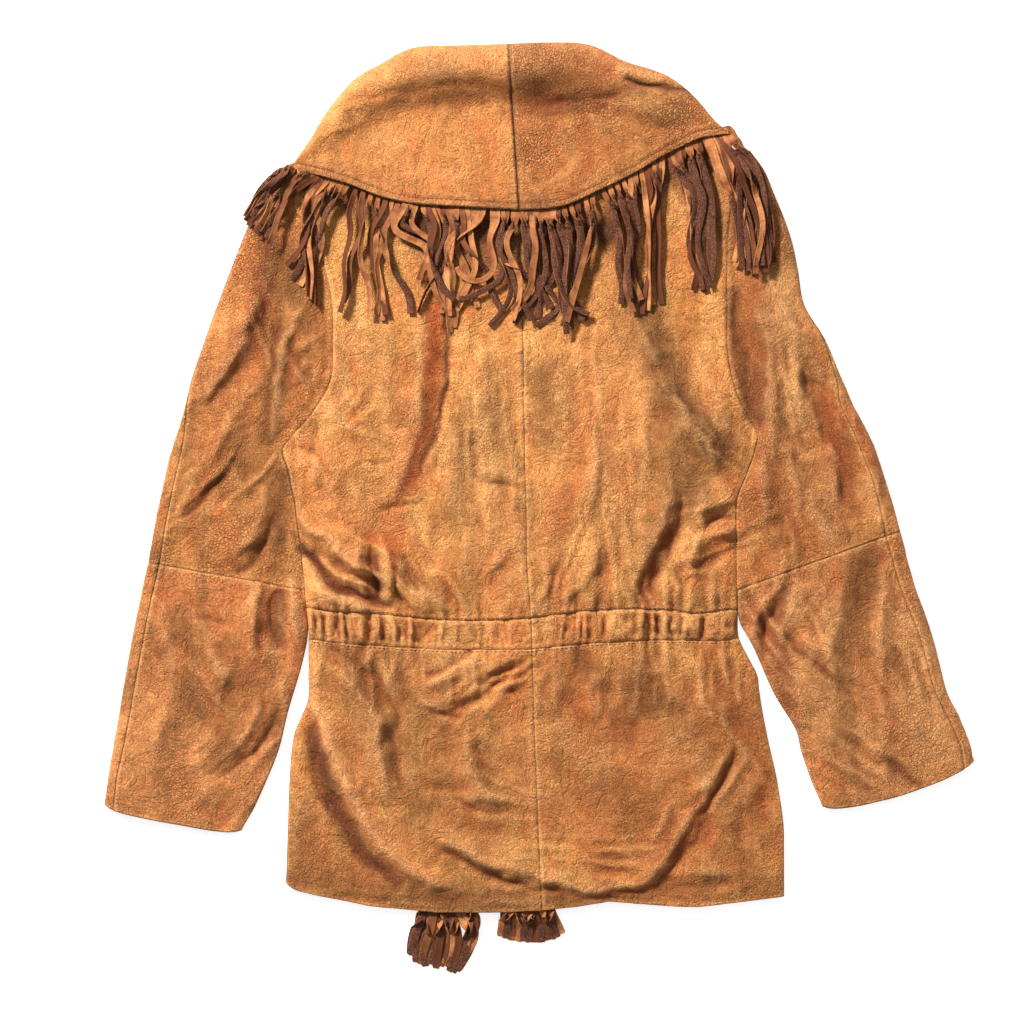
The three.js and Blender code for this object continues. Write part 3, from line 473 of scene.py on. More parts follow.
shoulder_y, casing_top_y, casing_foot_y = (along_x(t) for t in (SHOULDERS, CASING_TOP, CASING_FOOT))


def left_edge(y):
    return left(y) + LEATHER / 2 * smooth(folded(y) * 9)


def right_edge(y):
    return right(y) - LEATHER / 2 * smooth(folded(y) * 9)


def back_lift(x, y):
    """Height of the back layer: the named folds, fields of wrinkles, soft hills at four sizes, the fullness over
    the waist, gathers beside the casing, and the seams."""
    calm = 1 - 0.7 * smooth((y - 150) / 40)
    rise = (1.25 * fold_rise(x, y, FOLDS) + 0.95 * wrinkle_rise(x, y)) * calm
    hills = 2.6 * noise(x, y * 0.6, 58, 1) + 1.2 * noise(x, y, 27, 2) + 0.6 * noise(x, y, 12, 3)
    creases = 0.9 * (0.4 - np.abs(noise(*warped(x, y, 14), 26, 4))) + 0.35 * (0.4 - np.abs(noise(x, y, 9, 6)))
    rise += (hills + creases) * (0.35 + 0.65 * calm)
    on_body = smooth((x - left(y) + 4) / 6) * smooth((right(y) + 4 - x) / 6)
    above, below = y - casing_top_y(x), casing_foot_y(x) - y
    full = 2.2 + 2.5 * smooth((-130 - x) / 50) + 1.4 * noise(x, 0 * x, 22, 7)
    rise += on_body * full * np.exp(-(((above - 17) / 13) ** 2))
    rise += on_body * 2.2 * gathers(x, above, 21) * smooth(above / 3 + 0.3)
    rise += on_body * 2.2 * gathers(x, below, 24) * smooth(below / 3 + 0.3)
    rise += on_body * (seam_shape(x - seam(y), y, 31) + seam_shape(above, x, 37) + seam_shape(below, x, 38))
    above_arm = smooth((y - 24) / 10)
    for edge, near in ((left, 1), (right, -1)):
        away = (x - edge(y)) * 0.85
        rise += above_arm * (seam_shape(away, y, 33) - 1.2 * np.exp(-((away + near * 7) / 6) ** 2))
    return np.maximum(front_lift(x, y) + CLEAR, LIFT + rise)


def front_lift(x, y):
    return FRONT + OVER * smooth((y + 64) / 28) + 0 * x


def turn(inward):
    return np.sqrt(1 - (1 - np.clip(inward / ROLL, 0, 1)) ** 2)


def upper(top, foot, inward):
    return mix((top + foot) / 2 + 0.3, top, turn(inward))


def lower(top, foot, inward):
    return mix((top + foot) / 2 - 0.3, foot, turn(inward))


# ---- meshes ----
def new_object(name, points, faces, attributes=None, rounded=True):
    mesh = bpy.data.meshes.new(name)
    mesh.from_pydata(points * MM, [], faces)
    for key, values in (attributes or {}).items():
        layer = mesh.attributes.new(key, "FLOAT_COLOR", "POINT")
        colours = np.ones((len(points), 4))
        colours[:, : values.shape[1]] = values
        layer.data.foreach_set("color", colours.ravel())
    mesh.polygons.foreach_set("use_smooth", np.full(len(faces), rounded))
    mesh.update()
    piece = bpy.data.objects.new(name, mesh)
    bpy.context.scene.collection.objects.link(piece)
    return piece


def blurred(grid, cells):
    """The grid averaged over a square of this many cells each way, by differences of running sums."""
    out = grid
    for axis in (0, 1):
        padded = np.pad(out, [(cells, cells) if a == axis else (0, 0) for a in (0, 1)], mode="edge")
        total = np.cumsum(padded, axis=axis)
        total = np.insert(total, 0, 0, axis=axis)
        size = 2 * cells + 1
        n = out.shape[axis]
        high = np.take(total, range(size, size + n), axis=axis)
        low = np.take(total, range(0, n), axis=axis)
        out = (high - low) / size
    return out


def hide_tones_and_painted_shade(x, y):
    """Warm, olive, dark and pale: each the largest of the soft strokes that pass a place. Dark is painted shade;
    warm and olive are partly painted shade and pale is partly painted highlight.
    """
    tones = np.zeros(x.shape + (4,))
    wx, wy = warped(x, y, 5)
    wx, wy = wx + 2.2 * noise(x, y, 10, 43), wy + 3 * noise(x, y, 10, 44)
    for x1, y1, x2, y2, width, *amounts in STROKES.rows:
        dx, dy = x2 - x1, y2 - y1
        along = np.clip(((wx - x1) * dx + (wy - y1) * dy) / (dx * dx + dy * dy), 0, 1)
        off = np.hypot(wx - x1 - along * dx, wy - y1 - along * dy) / width
        weight = np.exp(-(off**2) * 0.7)
        tones = np.maximum(tones, weight[..., None] * np.array(amounts))
    return tones


def rim_distance(grid):
    """How far each point of a grid is, along its rows or columns, from the nearest of the four rims."""
    nearest = np.full(grid.shape[:2], 1e9)
    for axis in (0, 1):
        step = np.linalg.norm(np.diff(grid, axis=axis), axis=2)
        run = np.insert(np.cumsum(step, axis=axis), 0, 0, axis=axis)
        nearest = np.minimum(nearest, np.minimum(run, np.take(run, [-1], axis=axis) - run))
    return nearest


def wall(name, grid, thickness=LEATHER, cell=CELL):
    """A closed wall on a grid of points: the grid moved half the thickness out and in along its normals, joined
    round the rim. It carries how hollow and how raised each place is, for painted shade in hollows and painted
    highlight on raised places, and the hide's patches of tone with the strokes' painted shade and highlight."""
    across = np.gradient(grid, axis=1)
    along = np.gradient(grid, axis=0)
    normal = unit(np.cross(across, along))
    m, n = grid.shape[:2]
    points = np.concatenate([(grid + s * thickness / 2 * normal).reshape(-1, 3) for s in (1, -1)])
    a = (np.arange(m - 1)[:, None] * n + np.arange(n - 1)).ravel()
    top = np.stack([a, a + 1, a + n + 1, a + n], axis=1)
    under = m * n
    foot = np.stack([a, a + n, a + n + 1, a + 1], axis=1) + under
    i = np.arange(n - 1)
    j = np.arange(m - 1) * n
    rims = []
    for p, q in ((i, i + 1), (i + 1 + (m - 1) * n, i + (m - 1) * n), (j + n, j), (j + n - 1, j + 2 * n - 1)):
        rims.append(np.stack([p, p + under, q + under, q], axis=1))
    faces = np.concatenate([top, foot] + rims)
    z = grid[..., 2]
    small = z - blurred(z, max(1, round(5 / cell)))
    large = z - blurred(z, max(1, round(16 / cell)))
    tones = hide_tones_and_painted_shade(grid[..., 0], grid[..., 1]).reshape(-1, 4)
    # How hollow and how raised each place is: the hide paints shade in hollows and highlight on raised places.
    rough = small / 1.8 + large / 6
    rim = rim_distance(grid).ravel()
    # Dark lines along each rim.
    tones[:, 2] = np.maximum(tones[:, 2], 1.0 * np.exp(-((rim / 0.65) ** 2)))
    # Painted highlight in a line about two millimetres in from each rim, beside the seams and edges, added to the
    # strokes' pale.
    pale = np.maximum(tones[:, 3], 0.7 * np.exp(-(((rim - 1.9) / 0.8) ** 2)))
    relief = np.stack([np.clip(-rough, 0, 1).ravel(), np.clip(rough, 0, 1).ravel(), pale], axis=1)
    tones = tones[:, :3]
    return new_object(
        name, points, faces.tolist(), {"relief": np.tile(relief, (2, 1)), "tones": np.tile(tones, (2, 1))}
    )


def spread(width, step, fold_start=False, fold_end=False):
    """Shares from 0 to 1 about a step apart, closer together beside a seam and over a folded edge."""
    n = max(2, round(width / step))
    u = np.linspace(0, 1, n + 1)
    if step < PLAIN_CELL:
        close = np.array([0.5, 1.3, 2.6]) / width
        inner = u[(u > close[-1] * 1.4) & (u < 1 - close[-1] * 1.4)]
        u = np.concatenate([[0], close, inner, 1 - close[::-1], [1]])
    edge = (1 - np.cos(np.linspace(0, np.pi / 2, 9))) * ROLL / width
    if fold_start:
        u = np.concatenate([edge, u[u > edge[-1] + 0.3 * step / width]])
    if fold_end:
        u = np.concatenate([u[u < 1 - edge[-1] - 0.3 * step / width], 1 - edge[::-1]])
    return u


# ---- body ----
def body_grid(start, end, top_of, foot_of, lift, us, vs):
    """Points of a panel between two edges given by height and two seams given by x, found by trying six times."""
    u, v = np.meshgrid(us, vs)
    x, y = 0 * u, mix(top_of(0), foot_of(0), v)
    for _ in range(6):
        x = mix(start(y), end(y), u)
        y = mix(top_of(x), foot_of(x), v)
    return np.stack([x, y, lift(x, y, v)], axis=2)


def layer(half, puff=None):
    def lift(x, y, v):
        foot = front_lift(x, y)
        top = back_lift(x, y) + (puff(x, y, v) if puff else 0)
        level = top if half is upper else foot
        inward = np.minimum(x - left_edge(y), right_edge(y) - x)
        return mix(level, half(top, foot, inward), folded(y))

    return lift


def casing_puff(x, y, v):
    """The gathered casing: a soft tube between its two rows of stitches, pinched into uneven upright ridges."""
    arch = np.sin(np.pi * np.clip(v, 0, 1)) ** 0.7
    tight = 0.5 + 0.6 * smooth((np.abs(x + 16) - 40) / 90)
    slant = x + 7 * (v - 0.5) * noise(x, 0 * x, 20, 54)
    ridges = 0.4 - np.abs(noise(slant, v * 5, 7.6, 51)) ** 0.8 * 2.0 + 0.45 * noise(slant, v * 14, 3.2, 52)
    ridges = ridges + 0.8 * noise(slant, v * 8, 17, 55)
    return arch * (3.2 + 3.7 * tight * ridges) - 0.5


PIECES = {}


def add_body(part, top_of, foot_of, hem_shift, height, puff=None, step=CELL):
    rows = spread(height, step)
    widths = {"left": 225, "right": 215}
    for hand, start, end in (("left", left_edge, seam), ("right", seam, right_edge)):
        us = spread(widths[hand], step, hand == "left", hand == "right")
        name = f"back_{part}_{hand}"
        PIECES[name] = wall(name, body_grid(start, end, top_of, foot_of, layer(upper, puff), us, rows), cell=step)
    plain_rows = spread(height, PLAIN_CELL)
    hem_of = (lambda x: foot_of(x) + hem_shift) if hem_shift else foot_of
    edges = (("left", left_edge, lambda y: FRONT_EDGE.look_up("y", y, "left")),)
    edges += (("right", lambda y: FRONT_EDGE.look_up("y", y, "right"), right_edge),)
    for hand, start, end in edges:
        us = spread(190, PLAIN_CELL, hand == "left", hand == "right")
        name = f"front_{part}_{hand}"
        grid = body_grid(start, end, top_of, hem_of, layer(lower), us, plain_rows)
        PIECES[name] = wall(name, grid, cell=PLAIN_CELL)


add_body("upper", shoulder_y, casing_top_y, 0, 525)
add_body("casing", casing_top_y, casing_foot_y, 0, 32, casing_puff, 1.5)
add_body("skirt", casing_foot_y, along_x(HEM), FRONT_HEM_UP, 262)


# ---- sleeves ----
def tube_grid(ends, across, stations, seam_at):
    """Points of a flattened tube: across goes from 0 at the inner edge, underneath, to 1 at the outer edge and
    back over the top to 2. Folded edges are half ellipses, and the outer and elbow seams are sewn in."""
    q = across
    found = ends(stations)
    ix, iy, ox, oy, roll, elbow, bulge = (found[k] for k in "ix iy ox oy roll elbow sag".split())
    width = np.hypot(ox - ix, oy - iy)
    share = np.where(q <= 1, q, 2 - q)
    inset = LEATHER / 2 / width
    s = mix(inset * smooth(roll * 9), 1 - inset, share)
    x, y = mix(ix, ox, s), mix(iy, oy, s)
    y = y + 6 * np.abs(2 * s - 1) ** 7 * smooth((elbow - 190) / 20) - bulge * np.sin(np.pi * s)
    foot = np.where(roll < 1, mix(front_lift(x, y), FRONT, smooth(share * 3)), FRONT)
    top = back_lift(x, y) + seam_shape((q - seam_at) * width, y, 35) * (q > 0.9) + seam_shape(elbow, x, 36)
    top = np.maximum(top, foot + CLEAR) - 0.8 * (1 - roll) * smooth((2.6 - share * width) / 2.6)
    high = upper(top, foot, (1 - share) * width)
    low = lower(top, foot, (1 - share) * width)
    inner_high = mix(top, upper(top, foot, share * width), roll)
    inner_low = mix(foot, lower(top, foot, share * width), roll)
    z = np.where(q > 1, np.minimum(high, inner_high), np.maximum(low, inner_low))
    return np.stack([x, y, z], axis=2)


def add_sleeve(name, ends, stations, turned):
    found = ends(stations)
    width = np.hypot(found["ox"] - found["ix"], found["oy"] - found["iy"])
    seam_at = 1 + found["wrap"] / width
    mean = float(width.mean())
    share = spread(mean, CELL, False, True)
    under = np.concatenate([np.linspace(0, 0.86, 14), np.linspace(0.88, 0.985, 30), [0.99, 0.995, 1.0]])
    halves = (("_back", mix(seam_at[:, None], 2.0, share[None, :])), ("_front", under[None, :] * seam_at[:, None]))
    for half, q in halves:
        at = np.repeat(stations[:, None], q.shape[1], axis=1)
        grid = tube_grid(ends, q, at, np.repeat(seam_at[:, None], q.shape[1], axis=1))
        PIECES[name + half] = wall(name + half, grid if turned else grid[:, ::-1])


def upper_arm(rows, edge, outward):
    def ends(at):
        iy = -at
        row = rows.row_at("iy", iy)
        ox, oy, wrap = (rows.at(row, name) for name in ("ox", "oy", "wrap"))
        roll = folded(iy)
        ix = edge(iy) - outward * mix(1.2, 0.8, smooth(roll * 9))
        elbow = iy - ELBOW_Y
        return {"ix": ix, "iy": iy, "ox": ox, "oy": oy, "wrap": wrap, "roll": roll, "elbow": elbow, "sag": 0 * iy}

    return ends


def forearm(rows):
    def ends(at):
        found = {name: rows.at(at, name) for name in rows.names}
        return {**found, "roll": np.ones_like(at, dtype=float), "elbow": at * 35.0}

    return ends


ELBOW_Y = -113.0


def down_arm(start):
    """Stations from the shoulder to the elbow, closer together at the seam."""
    return np.concatenate([np.arange(start, -ELBOW_Y - 3, CELL), -ELBOW_Y - np.array([2.6, 1.3, 0.5, 0])])


def down_forearm(count):
    return np.concatenate([[0, 0.014, 0.037, 0.075], np.linspace(0.12, 5.94, count), [5.97, 6]])


add_sleeve("sleeve_left_upper", upper_arm(LEFT_SLEEVE, left, -1), down_arm(-303), False)
add_sleeve("sleeve_right_upper", upper_arm(RIGHT_SLEEVE, right, 1), down_arm(-325), True)
add_sleeve("sleeve_left_lower", forearm(LEFT_FOREARM), down_forearm(118), False)
add_sleeve("sleeve_right_lower", forearm(RIGHT_FOREARM), down_forearm(110), True)

# ---- collar ----
CREST_AT, TROUGH_AT = 24.0, 60.0


def collar_grid(rows, at, v):
    """v is 0 at the hidden leaf's end, 1 at the rolled edge and 2 at the fringed edge. The roll is a quarter of an
    ellipse up to its crest, then eases down to the fall."""
    c = {name: rows.at(at, name) for name in rows.names}
    length = np.hypot(c["ex"] - c["rx"], c["ey"] - c["ry"])
    away = np.where(v < 1, c["under"] * (1 - v), length * (v - 1))
    share = away / length
    x, y = mix(c["rx"], c["ex"], share), mix(c["ry"], c["ey"], share)
    crest_at = np.minimum(CREST_AT, length * 0.3)
    trough_at = np.minimum(TROUGH_AT, length * 0.7)
    side_level = mix(c["low"], c["crest"], 0.45)
    rounded = np.sqrt(1 - (1 - np.clip(away / crest_at, 0, 1)) ** 2)
    settled = smooth((away - crest_at) / (trough_at - crest_at))
    over = mix(mix(side_level, c["crest"], rounded), c["fall"], settled)
    edge = length * (2 - v)
    detail = fold_rise(x, y, COLLAR_FOLDS) + 1.2 * noise(x, y, 48, 61) + 0.5 * noise(x, y, 18, 62)
    detail += 0.25 * noise(x, y, 8, 63)
    detail += seam_shape(edge - COLLAR_STITCH_IN, x, 64) * 0.8 + seam_shape(x - mix(-30, -19, share), y, 65) * 0.9
    over = over + detail * smooth(away / 20)
    z = np.where(v < 1, mix(side_level, c["low"], rounded), over)
    return np.stack([x, y, z], axis=2)


def add_collar(hand, rows, lapel, turned):
    name = "collar_" + hand
    last = len(rows.rows) - 1
    stations = np.linspace(0, last, 112)
    into_roll = 1 - 0.1 * np.cos(np.linspace(0.3, np.pi / 2, 5))
    out_of_roll = 1 + 0.1 * (1 - np.cos(np.linspace(0.2, np.pi / 2, 8)))
    vs = np.concatenate([np.linspace(0, 0.9, 8), into_roll, out_of_roll, np.linspace(1.115, 2, 62)])
    at, v = np.meshgrid(stations, vs)
    grid = collar_grid(rows, at, v)
    PIECES[name] = wall(name, grid if turned else grid[:, ::-1], cell=2.4)
    first = 2
    end = len(lapel.rows) - 1
    at, w = np.meshgrid(np.linspace(0, end, 30), np.linspace(0, 1, 30))
    start = collar_grid(rows, first + at, 0 * at)
    stop = np.stack([lapel.at(at, "lx"), lapel.at(at, "ly"), 0 * at + FRONT], axis=2)
    distance = np.linalg.norm((stop - start)[..., :2], axis=2)
    share = mix(2.5 / distance, 1, 1 - w)[..., None]
    grid = mix(start, stop, share)
    grid[..., 2] = FRONT
    PIECES[name + "_front"] = wall(name + "_front", grid if turned else grid[:, ::-1], cell=PLAIN_CELL)


add_collar("left", LEFT_COLLAR, LEFT_LAPEL, False)
add_collar("right", RIGHT_COLLAR, RIGHT_LAPEL, True)


# ---- fringe ----
def strips(name, routes, twist, widths, seed):
    """Leather strips as one mesh: a flat section with eased corners carried along each route, turning by twist.
    routes is strips x stations x 3. The strip attribute holds 1 on the smooth side and 0 on the rough one, a shade
    of the strip's own, and the place along it."""
    count, stations = routes.shape[:2]
    tangent = unit(np.gradient(routes, axis=1))
    up = unit(np.array([0, 0, 1.0]) - tangent * tangent[..., 2:3])
    flat = np.cross(tangent, up)
    c, s = np.cos(twist)[..., None], np.sin(twist)[..., None]
    side, face = flat * c + up * s, up * c - flat * s
    h, t = 0.5, STRIP_THICK / 2
    section = np.array(
        [
            [-h, 0, 0.5], [-h * 0.86, t, 1], [0, t * 0.55, 1], [h * 0.86, t, 1], [h, 0, 0.5],
            [h * 0.86, -t, 0], [0, -t * 1.4, 0], [-h * 0.86, -t, 0],
        ]
    )
    k = len(section)
    wide = widths[..., None, None] * section[:, 0][None, None, :, None]
    thick = section[:, 1][None, None, :, None]
    points = routes[:, :, None, :] + wide * side[:, :, None, :] + thick * face[:, :, None, :]
    points = points.reshape(-1, 3)
    ring = np.arange(k)
    first = (np.arange(count)[:, None] * stations + np.arange(stations - 1)) * k
    near, next_to = first[..., None] + ring, first[..., None] + (ring + 1) % k
    quads = np.stack([near, next_to, next_to + k, near + k], axis=-1).reshape(-1, 4)
    heads = (np.arange(count) * stations * k)[:, None]
    caps = np.concatenate([heads + ring[::-1], heads + (stations - 1) * k + ring])
    rng = np.random.default_rng(seed)
    shade = np.repeat(rng.uniform(0, 1, count), stations * k)
    shown = np.tile(section[:, 2], count * stations)
    along = np.tile(np.repeat(np.linspace(0, 1, stations), k), count)
    look = np.stack([shown, shade, along], axis=1)
    faces = quads[:, ::-1].tolist() + caps[:, ::-1].tolist()
    return new_object(name, points, faces, {"strip": look}, rounded=False)


def fringe_routes(roots, tips, bows, curl, rough, loose, seed, ground, stations=40):
    """Routes from root to tip. Strips lie in locks of a few: those of a lock share their sway, their height and
    where they end, with a little of their own. Each is a swaying line from root to tip, some with a curled end."""
    rng = np.random.default_rng(seed)
    count = len(roots)
    sizes = rng.integers(2, 7, count)
    lock = np.repeat(np.arange(count), sizes)[:count]

    def shared(together, alone):
        return (rng.normal(0, together, count)[lock] + rng.normal(0, alone, count))[:, None]

    s = np.linspace(0, 1, stations)[None, :]
    number = np.bincount(lock, minlength=count)
    sums = [np.bincount(lock, tips[:, k], minlength=count) for k in (0, 1)]
    middle = np.stack([total / np.maximum(number, 1) for total in sums], axis=1)
    tips = mix(tips, middle[lock], 0.7 * loose) + np.concatenate([shared(12, 2.2), shared(6, 5)], axis=1) * loose
    reach = tips - roots
    length = np.linalg.norm(reach, axis=1, keepdims=True)
    normal = np.stack([-reach[:, 1], reach[:, 0]], axis=1) / length
    sway = bows[:, None] * np.sin(np.pi * s)
    for waves, size in ((0.6, 7.0), (1.15, 4.2), (2.3, 1.3)):
        start = shared(0.9, 0.4)
        wave = np.sin(2 * np.pi * waves * s + start) - np.sin(start)
        sway = sway + loose * shared(size, 0.45 * size) * wave * smooth(s * 3)
    xy = mix(roots[:, None, :], tips[:, None, :], s[..., None]) + sway[..., None] * normal[:, None, :]
    # Curled ends: the last part of the line is turned round by more and more.
    step = np.diff(xy, axis=1)
    angle = curl[:, None] * shared(0.3, 0.9) * smooth((s[:, 1:] - 0.4) / 0.5)
    c, n = np.cos(angle), np.sin(angle)
    step = np.stack([step[..., 0] * c - step[..., 1] * n, step[..., 0] * n + step[..., 1] * c], axis=2)
    xy = np.concatenate([xy[:, :1], xy[:, :1] + np.cumsum(step, axis=1)], axis=1)
    turns = rng.choice([0, 0, 0, 0, 1, -1], count)[:, None] * np.pi + shared(0.2, 0.25)
    flipped = (rng.uniform(0, 1, count)[lock] + rng.normal(0, 0.25, count) < rough)[:, None] * np.pi
    twist = flipped * smooth((s - 0.09) / 0.16) + turns * smooth((s - 0.35 - shared(0.1, 0.1)) / 0.3)
    twist = twist + shared(0.3, 0.3) * np.sin(2 * np.pi * 0.9 * s + shared(1, 1)) * smooth(s * 6)
    height = np.abs(shared(3.0, 2.0)) + np.abs(shared(1, 1)) * np.sin(np.pi * 1.6 * s + shared(1, 1))
    z = ground(xy[..., 0], xy[..., 1]) + (LEATHER + STRIP_THICK) / 2 + 0.3 + np.maximum(height, 0) * smooth(s * 3)
    z += 5.0 * (1 - s) + STRIP_WIDTH / 2 * np.abs(np.sin(twist))
    return np.concatenate([xy, z[..., None]], axis=2), twist


TIPS = "ex ey tx ty bow curl rough loose"
LEFT_TIPS = Table(
    TIPS,
    """
    -19 267 -12 146 0 .9 .4 1; -46 268 -42 150 0 .8 .5 1; -74 270 -62 156 0 .4 .4 1; -100 271 -86 158 -4 .2 .6 1
    -123 273 -112 166 -6 .1 .6 1; -156 280 -164 160 0 .1 .3 1; -190 293 -216 172 -4 .1 .6 .9
    -208 298 -232 178 -8 .1 .6 .7; -217 301 -276 250 -9 .1 .5 .5; -236 305 -286 246 -9 .1 .6 .3
    -246 308 -290 258 -8 .1 .6 .25; -251 305 -286 268 -6 .1 .6 .25
    """,
)
RIGHT_TIPS = Table(
    TIPS,
    """
    -18 267 -11 146 0 .9 .4 1; 3 266 6 140 0 .9 .5 1; 22 270 24 146 4 .6 .5 1; 60 286 66 158 4 .2 .6 1
    96 304 104 162 4 .1 .4 1; 121 319 134 176 2 .1 .5 1; 142 330 164 192 0 .1 .5 .9; 162 339 186 196 4 .1 .5 .8
    183 343 214 204 8 .1 .6 .7; 190 344 228 208 10 .1 .6 .65; 196 340 232 218 10 .1 .6 .6
    """,
)
PITCH = 4.4


def back_ground(x, y):
    """The cloth that the fringe lies on, which drops to the surface past the sleeves' outer edges."""
    low = np.minimum(
        x - LEFT_SLEEVE.at(LEFT_SLEEVE.row_at("oy", y), "ox"),
        RIGHT_SLEEVE.at(RIGHT_SLEEVE.row_at("oy", y), "ox") - x,
    )
    top = back_lift(x, y)
    return np.where(low > 0, mix(4.0, top, turn(low)), 1.0 + 3.0 * np.exp(np.minimum(low, 0) / 3))


def add_fringe(hand, table, seed):
    rng = np.random.default_rng(seed)
    dense = np.linspace(0, len(table.rows) - 1, 400)
    run = run_along(table.points(dense, "ex ey"))
    # Twice as many strips to a millimetre over the last stretch, where they bunch on the shoulder.
    crowd = np.cumsum(1 + 1.2 * smooth((run - run[-1] + 42) / 22))
    count = round(run[-1] / PITCH * crowd[-1] / len(run))
    crowd = (crowd - crowd[0]) / (crowd[-1] - crowd[0]) * (run[-1] - 1) + 0.5
    at = np.interp(np.linspace(0.6, run[-1] - 0.5, count), crowd, dense)
    ex, ey, tx, ty, bow, curl, rough, loose = (table.at(at, key) for key in table.names)
    roots, tips = np.stack([ex, ey], axis=1), np.stack([tx, ty], axis=1)
    reach = tips - roots
    roots = roots - reach / np.linalg.norm(reach, axis=1, keepdims=True) * 7
    tips = roots + (tips - roots) * rng.uniform(0.86, 1.03, (count, 1))
    routes, twist = fringe_routes(roots, tips, bow, curl, rough, loose[:, None], seed + 1, back_ground)
    # The first part hangs flat from under the collar's edge.
    held = smooth((0.13 - np.linspace(0, 1, routes.shape[1])) / 0.07)[None, :]
    routes[..., 2] = mix(routes[..., 2], HELD_LEVEL, held)
    name = "fringe_" + hand
    widths = STRIP_WIDTH * rng.uniform(0.88, 1.1, (count, 1)) * (1 - 0.22 * held)
    PIECES[name] = strips(name, routes, twist * (1 - held), widths, seed)


add_fringe("left", LEFT_TIPS, 71)
add_fringe("right", RIGHT_TIPS, 81)


def add_front_fringe(hand, lapel, seed):
    """The same strips under the front, lying straight and flat on the surface."""
    last = len(lapel.rows) - 1
    dense = np.linspace(0, last, 300)
    run = run_along(lapel.points(dense, "lx ly"))
    count = round(run[-1] / (PITCH + 0.6))
    at = np.interp(np.linspace(3, run[-1] - 3, count), run, dense)
    x, y = lapel.at(at, "lx"), lapel.at(at, "ly")
    s = np.linspace(0, 1, 8)[None, :]
    rng = np.random.default_rng(seed)
    sway = rng.normal(0, 0.25, (count, 1)) * np.sin(3 * s)
    routes = np.stack([x[:, None] + sway, y[:, None] - 0.3 - (LAPEL_FRINGE - 1) * s, 0 * sway + FRONT + 0.1], axis=2)
    widths = np.full((count, 8), 3.4)
    name = f"fringe_{hand}_front"
    PIECES[name] = strips(name, routes, 0 * routes[..., 0], widths, seed)


add_front_fringe("left", LEFT_LAPEL, 91)
add_front_fringe("right", RIGHT_LAPEL, 92)

# ---- waist laces and tassels ----
LACE = 4.0
LACES = {
    "left": Table(
        "x y",
        """
        -55 -152; -50 -156; -46 -164; -47 -176; -52 -190; -55 -206; -53 -224; -52 -242; -57 -260; -66 -277; -73 -295
        -75 -314; -77 -333; -83 -351; -91 -368; -97 -386; -99 -404; -98 -420
        """,
    ),
    "right": Table(
        "x y",
        """
        -15 -152; -20 -157; -23 -166; -21 -179; -15 -193; -11 -209; -13 -226; -19 -243; -23 -261; -21 -280; -15 -297
        -9 -314; -7 -333; -11 -352; -16 -370; -17 -388; -13 -404; -11 -420
        """,
    ),
}


def add_lace(hand):
    """A round lace of rolled leather: a circle of twelve points carried along the route."""
    route = LACES[hand].points(np.linspace(0, len(LACES[hand].rows) - 1, 110), "x y")
    middle = np.concatenate([route, np.full((len(route), 1), LACE / 2 + 0.05)], axis=1)
    tangent = unit(np.gradient(middle, axis=0))
    side = np.cross(tangent, [0, 0, 1.0])
    angle = np.linspace(0, 2 * np.pi, 12, endpoint=False)
    ring = np.cos(angle)[None, :, None] * side[:, None, :] + np.sin(angle)[None, :, None] * np.array([0, 0, 1.0])
    points = (middle[:, None, :] + LACE / 2 * ring).reshape(-1, 3)
    n, k = len(route), 12
    a = (np.arange(n - 1)[:, None] * k + np.arange(k)).ravel()
    b = (np.arange(n - 1)[:, None] * k + (np.arange(k) + 1) % k).ravel()
    quads = np.stack([a, b, b + k, a + k], axis=1)
    caps = [list(range(k))[::-1], list(range((n - 1) * k, n * k))]
    name = "lace_" + hand
    piece = new_object(name, points, quads.tolist() + caps)
    PIECES[name] = piece
    return middle


LACE_ROUTES = {hand: add_lace(hand) for hand in LACES}

# Strips of each tassel: where the tip ends and how far the strip bows to its right on the way.
TASSEL_STRIPS = {
    "left": Table(
        "x y bow",
        """
        -128 -478 -4; -123 -486 -2; -118 -488 3; -113 -490 -3; -108 -488 5; -103 -492 3; -98 -490 7; -94 -484 9
        -90 -495 12; -86 -496 16; -82 -494 20; -121 -452 -4; -99 -468 3; -109 -474 -5; -82 -480 22; -74 -468 14
        """,
    ),
    "right": Table(
        "x y bow",
        """
        -38 -460 -1; -33 -462 0; -27 -464 0; -21 -465 0; -15 -465 1; -9 -466 0; -3 -466 0; 3 -466 1; 9 -464 0
        14 -463 1; 19 -461 0; -36 -452 0
        """,
    ),
}
TASSEL_SPREAD = {"left": 11.0, "right": 22.0}


